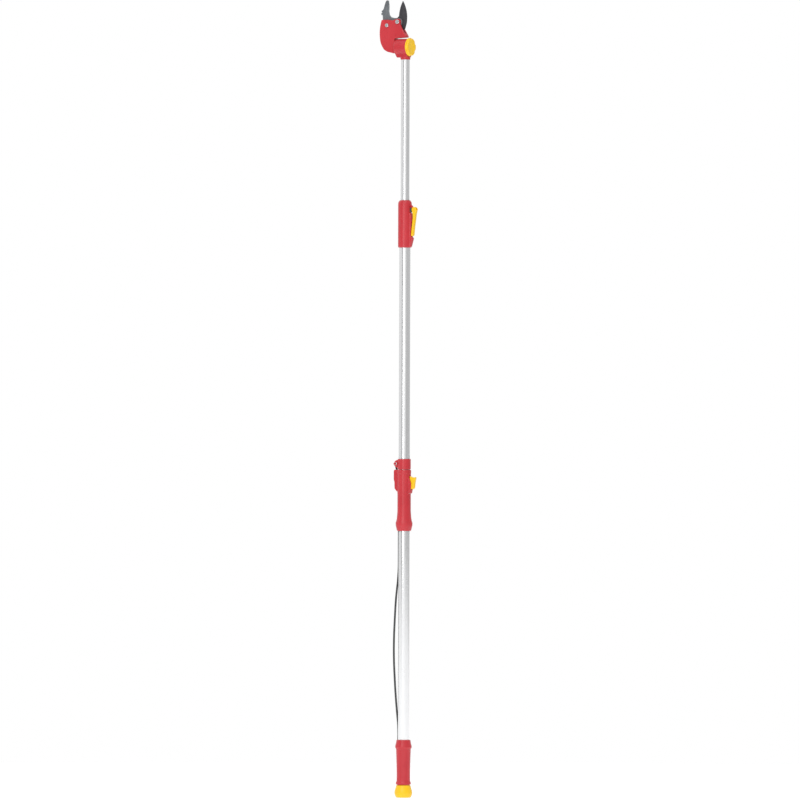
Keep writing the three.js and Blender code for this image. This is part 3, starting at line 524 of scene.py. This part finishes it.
def make_lower_grip():
    """A sleeve with a bead at the foot, a slightly waisted body and a flared thumb stop."""
    low, high = box_mm("lower_grip")
    bottom, top = low[2], high[2]
    line = rounded([(19.6, bottom), (21.75, bottom + 1.5), (21.75, bottom + 6.5), (19.5, bottom + 10.5),
                    (19.3, bottom + 30), (20.1, top - 60), (21.2, top - 27), (22.6, top - 24),
                    (24, top - 21.5), (23.6, top - 17), (21.2, top - 8), (20.4, top - 1.5), (19.2, top)],
                   3.0, 8, closed=False)
    outer = np.broadcast_to(line[:, :1], (len(line), len(circle)))
    bore = outer_radius + gap
    room = box_radius(circle, np.pi, channel_reach, channel_half)
    inner = np.broadcast_to(np.maximum(bore, room), outer.shape).copy()
    inner[line[:, 1] < bottom + 3] = bore - 1.7
    piece("lower_grip", "pole", "red_plastic", sleeve(line[:, 1], outer, inner, circle))


make_tubes()
make_end_knob()
make_lower_grip()


# ---------------------------------------------------------------- straps
LOWER_ROUTE = [
    (-0.0171, 0.775), (-0.0171, 0.735), (-0.0171, 0.695), (-0.0174, 0.662), (-0.0198, 0.626),
    (-0.0239, 0.592), (-0.0273, 0.557), (-0.0311, 0.490), (-0.0324, 0.454), (-0.0327, 0.419),
    (-0.0318, 0.384), (-0.0300, 0.350), (-0.0278, 0.315), (-0.0251, 0.281), (-0.0217, 0.246),
    (-0.0184, 0.215), (-0.0171, 0.190), (-0.0171, 0.150), (-0.0171, 0.100), (-0.0171, 0.0453)]


def make_lower_strap():
    """The pull strap's free run from the handle down to the foot. It slackens as the handle comes
    down; this mesh keeps one resting shape, in a copy of its own."""
    route = curve(LOWER_ROUTE, 12)
    made = raw_object("lower_strap_skin", band(route / MM, 10, 1.4))
    finish_piece(made, "pole", "strap")
    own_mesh(made)


def make_upper_strap():
    """The strap over the roller and down through the handle."""
    low, high = box_mm("strap_roller")
    x, z = (low[0] + high[0]) / 2, (low[2] + high[2]) / 2
    wrap = (high[2] - low[2]) / 2 + 2 * gap + 0.7
    inside = -outer_radius - 1.1
    over = arc(x, z, wrap, 90, 180, 9)
    route = np.concatenate([
        [(-outer_radius + 1.5, z + wrap - 0.6), (inside - 1.9, z + wrap - 0.2)], over,
        [(x - wrap + 0.8, z - 9), (inside - 6.4, handle_top - 4), (inside - 2.9, handle_top - 15),
         (inside, handle_top - 32), (inside, handle_top - 68), (inside, handle_low + 32)]])
    made = raw_object("upper_strap_skin", band(curve(route, 10), 10, 1.4))
    finish_piece(made, "pole", "strap")


make_lower_strap()
make_upper_strap()


# ---------------------------------------------------------------- screws and nuts
def hex_nut(name, body, axis, centre, half_flat, hole, low, high):
    """A hexagon nut whose corners are turned off at both faces."""
    flats = hexagon(half_flat)
    round_off = half_flat * 1.03
    profile = [(hole, low), (round_off - 0.4, low), (np.minimum(flats, round_off), low + 0.15),
               (flats, low + 0.8), (flats, high - 0.8), (np.minimum(flats, round_off), high - 0.15),
               (round_off - 0.4, high), (hole, high)]
    piece(name, body, "steel", turned(profile, axis, centre), sharp=25)


def socket_screw(name, body, axis, centre, head, face, crown, key, shank, end):
    """A domed screw: from the key's hexagon out over the dome to its seat, then along the shank.
    face is where the head sits, crown how far its top stands from that, end the shank's far end."""
    out = np.sign(crown)
    hex_key = hexagon(key)
    top = face + crown
    floor = top - out * min(abs(crown) * 0.7, 1.8)
    rim = np.maximum(hex_key, key * 1.16)
    profile = [(0, floor), (hex_key, floor), (hex_key, top - out * 0.25), (rim + 0.35, top),
               (head * 0.78, top - out * abs(crown) * 0.06), (head * 0.93, top - out * abs(crown) * 0.28),
               (head * 0.995, top - out * abs(crown) * 0.62), (head, face + out * 0.15),
               (head - 0.2, face), (shank, face), (shank, end), (0, end)]
    piece(name, body, "steel", turned(profile, axis, centre), sharp=32)


# ---------------------------------------------------------------- sliding handle
def handle_shape(angle, half):
    """Round in section, its radius following a profile up the handle: a flared skirt, a waist, a wider
    barrel with a bead at its top. On -X the strap housing stands out as a rounded box; on +X two ears
    hold the trigger. The parts are melted into each other."""
    low, top = handle_low, handle_top
    line = rounded([(19.6, low), (20.6, low + 1.5), (23.9, low + 15), (24.5, low + 23), (22.3, low + 29),
                    (21.6, low + 33), (20.9, low + 36), (19.3, low + 58), (19.3, low + 104),
                    (19.8, low + 113), (19.85, top - 15), (19.3, top - 13.2), (19.3, top - 12),
                    (20, top - 10.5), (20, top - 2), (18.6, top)], 2.0, 7, closed=False)
    height = np.sort(np.concatenate([line[:, 1], np.arange(low + 96, top - 1, 1.0)]))
    height = height[np.concatenate([[True], np.diff(height) > 0.05])]
    round_radius = np.interp(height, line[:, 1], line[:, 0])[:, None] + 0 * angle
    bump_top, bump_low = top, low + 108
    reach = np.interp(height, [bump_low, bump_low + 9, bump_low + 13, bump_low + 17, bump_low + 33,
                               bump_low + 37, bump_low + 40, top - 5, top - 1.2, bump_top],
                      [15, 23.5, 27, 28, 28.3, 29.9, 30.6, 30.6, 29.6, 28.2])[:, None]
    half_width = np.interp(height, [bump_low, bump_low + 8, top - 1.5, top], [6.5, 9, 9, 8.2])[:, None]
    outer = melted(round_radius, box_radius(angle, np.pi, reach, half_width))
    pin = trigger_pin_z
    ear = np.interp(height, [pin - 27, pin - 23, pin - 6, pin + 6, pin + 21, pin + 25],
                    [15, 22.6, 26, 26, 20.4, 15])[:, None]
    outer = melted(outer, box_radius(angle, 0, ear, 8.3))
    width = np.abs(outer * np.sin(angle))
    in_slot = (width < 5.3) & (np.cos(angle) > 0) & (height[:, None] > pin - 13.5)
    in_slot &= height[:, None] < pin + 27
    outer = np.where(in_slot, np.minimum(outer, 18.6 / np.maximum(np.cos(angle), 0.2)), outer)
    bore = outer_radius + 0.4
    room = box_radius(angle, np.pi, channel_reach, channel_half)
    inner = np.broadcast_to(np.maximum(bore, room), outer.shape).copy()
    cavity = box_radius(angle, np.pi, 28, 6.2)
    in_cavity = height > low + 128
    inner[in_cavity] = np.maximum(inner[in_cavity], cavity)
    return sleeve(height, outer, np.minimum(inner, outer - 0.6), angle, half)


trigger_pin_x, trigger_pin_z = middle_mm("trigger_pin")


def make_handle():
    seam = 0.006
    front = np.linspace(-np.pi + seam, -seam, 240)
    piece("handle_front", "handle", "red_plastic", handle_shape(front, True))
    rear = np.linspace(seam, np.pi - seam, 240)
    screws = [middle_mm(f"handle_screw_{number}") for number in (1, 2, 3, 4)]
    holes = [turned([(0, 4), (1.9, 4), (1.9, 40), (0, 40)], "y", (x, 0, z), 32) for x, z in screws]
    piece("handle_rear", "handle", "red_plastic", handle_shape(rear, True), holes)
    for number, (x, z) in enumerate(screws, 1):
        socket_screw(f"handle_screw_{number}", "handle", "y", (x, 0, z), 1.6, 5.6, 0.4, 0.7, 1.58, -4.5)


def make_trigger():
    """A thumb lever with flat sides and softened edges, widest at the nose that curls out at its top."""
    x, z = trigger_pin_x, trigger_pin_z
    outline = np.concatenate([
        [(x - 1.6, z - 6), (x + 2, z - 12)],
        curve([(x + 8.5, z - 12.2), (x + 12.2, z - 8), (x + 12.9, z - 2), (x + 13.4, z + 4),
               (x + 15, z + 13), (x + 16.7, z + 20.6)], 8),
        curve([(x + 16.2, z + 22.4), (x + 11, z + 22.6), (x + 5, z + 22.5), (x - 1.2, z + 26)], 8)])
    levels = edge_levels(-5, 5, 1.3)
    pin_room = pin_hole(1.9, x, z)
    spring_room = turned([(0, -9), (2.6, -9), (2.6, 3.4), (0, 3.4)], "x", (x, 0, z + 16), 48)
    piece("trigger", "trigger", "yellow_plastic", plate(evened(outline, 0.5, 2.0), levels),
          [pin_room, spring_room])


make_handle()
make_trigger()


# ---------------------------------------------------------------- stop collar
def make_collar():
    """A clamped ring with two half-round ears on -X that carry the strap roller between them."""
    low, high = box_mm("stop_collar")
    bottom, top = low[2], high[2]
    line = rounded([(17.9, bottom), (18.9, bottom + 1.4), (18.9, top - 1.4), (17.9, top)], 1.0, 6, False)
    height = np.unique(np.concatenate([line[:, 1], np.linspace(bottom + 2, top - 2, 60)]))
    radius = np.interp(height, line[:, 1], line[:, 0])[:, None] + 0 * circle
    bore = outer_radius + gap
    window = box_radius(circle, np.pi, 18.6, 5.9)
    inner = np.broadcast_to(np.maximum(bore, window), radius.shape)
    ring = sleeve(height, radius, inner, circle)
    centre, pin_z = middle_mm("strap_roller")
    ear = 11
    outline = np.concatenate([
        [(-bore - 0.6, pin_z + ear)], arc(-bore - 1.6, pin_z, ear, 90, 270),
        [(-bore - 0.6, pin_z - ear)]])
    ears = [plate(evened(outline, 0.6, 1.2), edge_levels(side * 5.9, side * 9, 0.7)) for side in (-1, 1)]
    made = raw_object("stop_collar_skin", merged(ring, *ears))
    cut_away(made, pin_hole(2.3, centre, pin_z))
    finish_piece(made, "pole", "red_plastic")
    socket_screw("collar_screw", "pole", "y", (centre, 0, pin_z), 4.2, -9.3, -2.3, 2, 2, 13.4)
    hex_nut("collar_nut", "pole", "y", (centre, 0, pin_z), 3.5, 2.3, 9.3, 12.4)
    flange = rounded([(2.3, -5.6), (3.9, -5.6), (3.9, -5), (3.5, -4.6), (3.5, 4.6), (3.9, 5), (3.9, 5.6),
                      (2.3, 5.6)], 0.25, 4)
    piece("strap_roller", "strap_roller", "grey_plastic", turned(flange, "y", (centre, 0, pin_z), 64))


make_collar()


# ---------------------------------------------------------------- tube clamp and lever
lever_x, lever_z = middle_mm("lever_pin")


def make_clamp():
    """A sleeve over both tubes. On +X a ridge follows the lever's back, with a fin below the lever's
    end, and a tongue above it carries the lever's pin. Two shallow slots are sunk in the front."""
    low, top = clamp_low, clamp_top
    line = rounded([(18.2, low), (19.75, low + 1.6), (19.75, top - 10), (18.6, top - 4.5), (15.4, top - 0.6),
                    (13.6, top)], 2.2, 7, closed=False)
    height = np.unique(np.concatenate([line[:, 1], np.arange(low + 3, top - 8, 1.2)]))
    radius = np.interp(height, line[:, 1], line[:, 0])[:, None] + 0 * circle
    ridge = np.interp(height, [low + 1, low + 3, low + 12, low + 22, low + 27, low + 30, low + 36,
                               lever_z - 24, lever_z - 16, lever_z - 10, lever_z - 6],
                      [17, 20.6, 23.2, 26.2, 27, 23.8, 21.6, 25.3, 23.4, 21.9, 14])[:, None]
    outer = melted(radius, box_radius(circle, 0, ridge, 7), 0.8)
    groove = np.zeros_like(outer)
    for place in (-1.95, -1.62):
        across = np.exp(-((circle - 2 * np.pi - place) * 19.75 / 0.8) ** 4)
        along = np.exp(-((height[:, None] - (low + 72)) / 15) ** 8)
        groove += across * along * 0.9
    outer = outer - groove
    shoulder = box_mm("outer_tube")[1][2] + gap
    bore = np.where(height > shoulder, inner_radius + gap, outer_radius + gap)[:, None] + 0 * circle
    body = sleeve(height, outer, np.minimum(bore, outer - 0.5), circle)
    x, z = lever_x, lever_z
    outline = np.concatenate([
        [(16.5, top - 10), (16.5, top - 22), (x - 7, z + 7), (x - 5, z + 1.5)],
        arc(x, z, 5, 180, 471, 40), [(x - 6, z + 12)]])
    tongue = plate(evened(outline, 0.4, 0.8), edge_levels(-2.5, 2.5, 0.4))
    shoe = box_mm("clamp_shoe")
    window = np.array([(shoe[0][0] - 4, shoe[0][2] - gap), (x, shoe[0][2] - gap),
                       (x, shoe[1][2] + gap), (shoe[0][0] - 4, shoe[1][2] + gap)])
    made = raw_object("clamp_body_skin", body)
    cut_away(made, plate(window, [(0, -5.3), (0, 5.3)]))
    tongue_piece = raw_object("tongue", tongue)
    cut_away(tongue_piece, pin_hole(2.3, x, z))
    join_into(made, tongue_piece)
    finish_piece(made, "pole", "red_plastic")


def join_into(made, other):
    """Adds another object's mesh to a piece."""
    build = bmesh.new()
    build.from_mesh(made.data)
    build.from_mesh(other.data)
    build.to_mesh(made.data)
    build.free()
    bpy.data.objects.remove(other)


def make_lever():
    """A flat cam lever: a round head with the pin through it, then a blade-like handle that tapers
    and curls at its end. Every edge is rounded."""
    x, z, end = lever_x, lever_z, clamp_low + 32
    outline = np.concatenate([
        [(x - 5.3, z - 4.2)], arc(x + 1.2, z + 0.6, 7.9, 214, -26, 40),
        curve([(x + 5.8, z - 13), (x + 3.8, z - 30), (x + 1.2, end + 30), (x - 0.8, end + 10),
               (x - 1.8, end + 3), (x - 4.2, end)], 8),
        curve([(x - 7.2, end + 0.8), (22.9, end + 8), (x - 2.8, z - 24), (x - 3.2, z - 12)], 8)])
    body = plate(evened(outline[::-1], 0.5, 1.6), edge_levels(-6, 6, 2.2, 7))
    fork = turned([(0, -3), (5.5, -3), (5.5, 3), (0, 3)], "y", (x, 0, z), 64)
    slot = plate(np.array([(x - 20, z), (x + 20, z), (x + 20, z + 20), (x - 20, z + 20)]),
                 [(0, -3), (0, 3)])
    pin_room = turned([(0, -5.1), (2.3, -5.1), (2.3, 20), (0, 20)], "y", (x, 0, z), 48)
    piece("clamp_lever", "clamp_lever", "yellow_plastic", body, [fork, slot, pin_room])


make_clamp()
make_lever()


# ---------------------------------------------------------------- swivel bracket and knob
def make_bracket():
    """A round drum across the pole, a web that narrows down to the socket on the tube's end, and the
    socket: overlapping shapes fused into one skin whose corners are rounded as a moulding's are."""
    left = box_mm("swivel_bracket")[0][0]
    right = box_mm("swivel_knob")[0][0] - gap
    rim = box_mm("inner_tube")[1][2] - 7
    centre = (0, 0, swivel_z)
    drum = turned(rounded([(0, left), (19.5, left), (22.6, left + 1.6), (24, left + 5.5), (24, right),
                           (0, right)], 1.6), "x", centre)
    web_outline = np.array([(left + 1, swivel_z), (left + 1, swivel_z - 18), (left + 8, swivel_z - 30),
                            (right - 0.6, swivel_z - 29), (right - 0.6, swivel_z)])
    web = plate(evened(web_outline, 0.6, 1.5), edge_levels(-13.2, 13.2, 1.5))
    socket = turned(rounded([(0, rim), (13.4, rim), (14.2, rim + 0.8), (14.2, rim + 7.3),
                             (0, rim + 7.3)], 0.5), segments=96)
    made = raw_object("swivel_bracket_skin", merged(drum, web, socket))
    fuse(made, 0.62, 6)
    room = turned([(0, rim - 5), (inner_radius + gap, rim - 5), (inner_radius + gap, rim + 7),
                   (0, rim + 7)], segments=64)
    hollow = turned([(0, left + 5), (21, left + 5), (21, right - 4), (0, right - 4)], "x", centre, 64)
    bolt_room = turned([(0, -60), (6.3, -60), (6.3, 60), (0, 60)], "x", centre, 48)
    cut_away(made, room, hollow, bolt_room)
    finish_piece(made, "inner_pole", "red_plastic", sharp=50)
    screw = box_mm("bracket_screw")
    socket_screw("bracket_screw", "inner_pole", "y", (0, 0, (screw[0][2] + screw[1][2]) / 2),
                 3.2, screw[1][1] - 1.9, 1.9, 1.3, 1.7, screw[0][1])
    washer = box_mm("swivel_washer")
    ring = rounded([(6.3, washer[0][0]), (11, washer[0][0]), (11, washer[1][0]), (6.3, washer[1][0])], 0.2, 3)
    piece("swivel_washer", "inner_pole", "steel", turned(ring, "x", centre))


def make_swivel_knob():
    """A round flange against the drum; outside it the knob has six lobes, its radius falling by
    2.6 (1/2 + cos 6(a - 30 degrees) / 2)^3 mm between them, and a domed face with a shallow dish."""
    low, high = box_mm("swivel_knob")
    left, right = low[0], high[0]
    angle = np.linspace(0, 2 * np.pi, 180, endpoint=False)
    scallop = (0.5 + 0.5 * np.cos(6 * (angle - np.pi / 6))) ** 3
    lobed = 25.9 - 2.6 * scallop
    insert = 9.7
    profile = [(insert, left), (25.6, left), (26.3, left + 0.4), (26.5, left + 1), (26.5, left + 2.8),
               (26.2, left + 3.4), (lobed - 0.1, left + 3.8), (lobed - 0.25, left + 4.6),
               (lobed - 0.9, right - 1.8), (lobed - 1.6, right - 0.8), (lobed - 2.9, right - 0.15),
               (lobed - 4.5, right), (15.5, right - 0.1), (13, right - 0.8), (5, right - 1),
               (0, right - 1), (0, right - 2.2), (insert, right - 2.2)]
    piece("swivel_knob", "swivel_knob", "yellow_plastic", turned(profile, "x", (0, 0, swivel_z), 180))


make_bracket()
make_swivel_knob()


# ---------------------------------------------------------------- head
def up(points):
    """Points given as (x, rise above the swivel axis) as an outline at their height."""
    return np.array(points, float) + (0, swivel_z)


pivot = (-21.4, 0, swivel_z + 73)
screw_place = (-56.2, 0, swivel_z + 63.5)
tackle = (-53.6, 0, swivel_z + 52.9)


def housing_outline():
    """A rounded plate: a bowed back, a foot beside the drum and a lobe round the pivot."""
    right = box_mm("swivel_washer")[0][0] - gap
    return evened(np.concatenate([
        curve(up([(-74.5, 80), (-79.5, 60), (-81, 38), (-77.5, 13), (-67, -6)]), 10),
        curve(up([(-56, -12.6), (right - 1, -18)]), 8),
        up([(right, -17), (right, 25.5), (6.5, 27.6)]),
        curve(up([(5.6, 33), (-2, 45), (-8.6, 56)]), 8),
        arc(pivot[0], pivot[2], 9, -36, 112, 24),
        curve(up([(-38, 77.4), (-54, 79.6), (-73.5, 80)]), 8)]), 0.7, 6)


def make_housing():
    """Two shells. Each is a wall round a pocket: in from the rim, round the outer edge to the face.
    The rear wall is cut back where the blade works."""
    outline = housing_outline()
    x, rise = outline[:, 0], outline[:, 1] - swivel_z
    wall = 1.9
    for name, side, rim in (("housing_front", -1, 3.6), ("housing_rear", 1, -3.3)):
        rim = np.full(len(outline), rim)
        if side > 0:
            mouth = (x > -74.6) & (rise > np.interp(x, [-73, -50, -12, 20], [52, 44, 40, 40]))
            rim = np.where(mouth, 3.6, rim)
        levels = [(wall, side * 7.6), (wall, side * rim), (0.3, side * rim), (0, side * (rim + 0.3)),
                  (0, side * 8), (0.18, side * 8.8), (0.6, side * 9.5), (1.2, side * 9.9),
                  (1.9, side * 10)]
        piece(name, "head", "red_plastic", plate(outline, levels))


def counter_outline():
    """The fixed hook: a thin tip, a bay for the branch, a lobe at the pivot and two small bumps."""
    return evened(np.concatenate([
        curve(up([(-59.2, 136), (-56, 135.4), (-54.4, 132.5), (-53, 120), (-53.3, 103)]), 8),
        curve(up([(-51.8, 94.5), (-46.5, 88), (-37.5, 85), (-28, 84.4)]), 8),
        arc(pivot[0], pivot[2], 11.8, 104, -81, 30),
        curve(up([(-34, 60), (-52, 56.5), (-70, 57)]), 8),
        curve(up([(-71.8, 68), (-73.6, 82), (-74.4, 93)]), 8),
        arc(-75.6, swivel_z + 97, 3.6, 297, 54, 14),
        arc(-74.6, swivel_z + 104.4, 3.2, 234, 76, 14),
        curve(up([(-70.8, 113), (-66.6, 126), (-63, 134), (-59.6, 136.2)]), 8)])[::-1], 0.5, 0.8)


def cutting_outline():
    """The blade: a sickle nose, a curved cutting edge, a heel round the pivot and a tail to the tackle."""
    return evened(np.concatenate([
        curve(up([(-9.4, 133), (-15.8, 119), (-20, 104), (-22.1, 90)]), 10),
        curve(up([(-26, 86.5), (-31, 82), (-32.5, 74)]), 8),
        curve(up([(-35, 66.5), (-44, 61.5), (-55.2, 58.7)]), 8),
        arc(tackle[0], tackle[2], 6, 104, 292, 24),
        curve(up([(-40, 46.5), (-26, 44.2), (-12, 46.5), (-2.1, 53)]), 8),
        curve(up([(3, 70), (4, 87), (2.2, 104), (-3.1, 121), (-9.0, 133)]), 10)]), 0.5, 0.8)


def make_blades():
    """Each blade is a flat plate with broken edges. The cutting edge is ground: its bevel, 4 mm wide,
    is deepest along the bay and fades out towards the nose and the heel."""
    hook = counter_outline()
    rise = hook[:, 1] - swivel_z
    in_bay = (hook[:, 0] > -57) & (hook[:, 0] < -33) & (rise > 84)
    grind = smoothed(in_bay * 1.0, 9) * 2.2
    levels = [(0.15, -0.2), (0, -0.35), (0, -3.05 + grind * 0.5), (0.15 + grind, -3.2)]
    piece("counter_blade", "head", "hook_coating", plate(hook, levels), sharp=24)
    blade = cutting_outline()
    rise = blade[:, 1] - swivel_z
    on_edge = (blade[:, 0] < -10.5) & (rise > 88)
    grind = smoothed(on_edge * 1.0, 13) * 4
    levels = [(0.1, 0.2), (0, 0.3), (0, 3.05 - grind * 0.55), (0.15 + grind, 3.2)]
    piece("cutting_blade", "blade", "blade_coating", plate(blade, levels), sharp=24)


def smoothed(values, reach):
    """A closed line of numbers averaged over `reach` neighbours each way."""
    return np.mean([np.roll(values, shift) for shift in range(-reach, reach + 1)], axis=0)


def make_head_hardware():
    face = 10.3
    socket_screw("pivot_bolt", "head", "y", pivot, 6.2, -face, -2.8, 2.6, 4, face + 5.4)
    hex_nut("pivot_nut", "head", "y", pivot, 6, 4.3, face, face + 4.4)
    socket_screw("housing_screw", "head", "y", screw_place, 5.6, -face, -2.4, 2.2, 2.5, face + 3.6)
    hex_nut("housing_nut", "head", "y", screw_place, 4, 2.8, face, face + 3)


make_housing()
make_blades()
make_head_hardware()


# ---------------------------------------------------------------- studio
def area_light(name, place, target, size, power):
    light = bpy.data.lights.new(name, "AREA")
    light.shape = "RECTANGLE"
    light.size, light.size_y = size
    light.energy = power
    lamp = bpy.data.objects.new(name, light)
    lamp.location = place
    lamp.rotation_euler = (Vector(target) - Vector(place)).to_track_quat("-Z", "Y").to_euler()
    bpy.context.scene.collection.objects.link(lamp)


def make_studio():
    """A white tent as the world: seen from the tool, its brightness runs round the horizon from a wide
    softbox left of the lens to a grey gap on its right and paler walls beyond, which draws the tubes'
    stripes; it darkens towards the ground. The lens itself sees plain white."""
    across = Vector((math.cos(math.radians(30)), math.sin(math.radians(30)), 0))
    toward = Vector((math.sin(math.radians(30)), -math.cos(math.radians(30)), 0))
    middle = Vector((0, 0, 1.15))
    area_light("key", toward * 2.6 - across * 1.1 + Vector((0, 0, 1.7)), middle, (1.1, 2.6), 18)
    area_light("top", toward * 1.4 + Vector((0, 0, 3.9)), middle, (1.4, 1.4), 13)
    world = bpy.data.worlds.new("studio")
    world.use_nodes = True
    tree = world.node_tree
    coords = node(tree, "ShaderNodeTexCoord").outputs["Generated"]
    turned_round = node(tree, "ShaderNodeMapping", links={"Vector": coords},
                        values={"Rotation": (0, 0, math.radians(60))})
    bearing = node(tree, "ShaderNodeTexGradient", {"gradient_type": "RADIAL"},
                   {"Vector": turned_round.outputs["Vector"]})
    walls = ramp(tree, bearing.outputs["Fac"], [
        (0.0, "#F2F2F2"), (0.2, "#F8F8F8"), (0.325, "#F4F4F4"), (0.345, "#A8A8A8"), (0.41, "#A0A0A0"),
        (0.43, "#FFFFFF"), (0.555, "#FFFFFF"), (0.59, "#CACACA"), (0.82, "#D2D2D2"), (1.0, "#F2F2F2")])
    height = node(tree, "ShaderNodeSeparateXYZ", links={"Vector": coords}).outputs["Z"]
    rise = node(tree, "ShaderNodeMapRange", links={"Value": height},
                values={"From Min": -1.0, "From Max": 0.6, "To Min": 0.45, "To Max": 1.12})
    seen = node(tree, "ShaderNodeLightPath").outputs["Is Camera Ray"]
    tent = node(tree, "ShaderNodeBackground", links={"Color": walls, "Strength": rise.outputs["Result"]})
    plain = tree.nodes["Background"]
    plain.inputs["Color"].default_value = linear("#FFFFFF")
    plain.inputs["Strength"].default_value = 1.0
    chosen = node(tree, "ShaderNodeMixShader", links={"Fac": seen})
    tree.links.new(tent.outputs["Background"], chosen.inputs[1])
    tree.links.new(plain.outputs["Background"], chosen.inputs[2])
    tree.links.new(chosen.outputs["Shader"], tree.nodes["World Output"].inputs["Surface"])
    bpy.context.scene.world = world
    bpy.context.scene.view_settings.view_transform = "Standard"


def make_floor():
    """A pale disc, 12 m across, 160 mm below the foot, with a faint glow of its own."""
    material, tree, shader = new_material("pale_floor", {
        "Roughness": 0.9, "Emission Color": linear("#FFFFFF"), "Emission Strength": 0.3})
    tone = object_noise(tree, 900, detail=2)
    tree.links.new(ramp(tree, tone, [(0.3, "#F3F3F3"), (0.7, "#F8F8F8")]), shader.inputs["Base Color"])
    top, bottom, reach = -160, -170, 6000
    disc = raw_object("floor", turned([(0, top), (reach, top), (reach, bottom), (0, bottom)]))
    disc.data.materials.append(material)


make_studio()
make_floor()
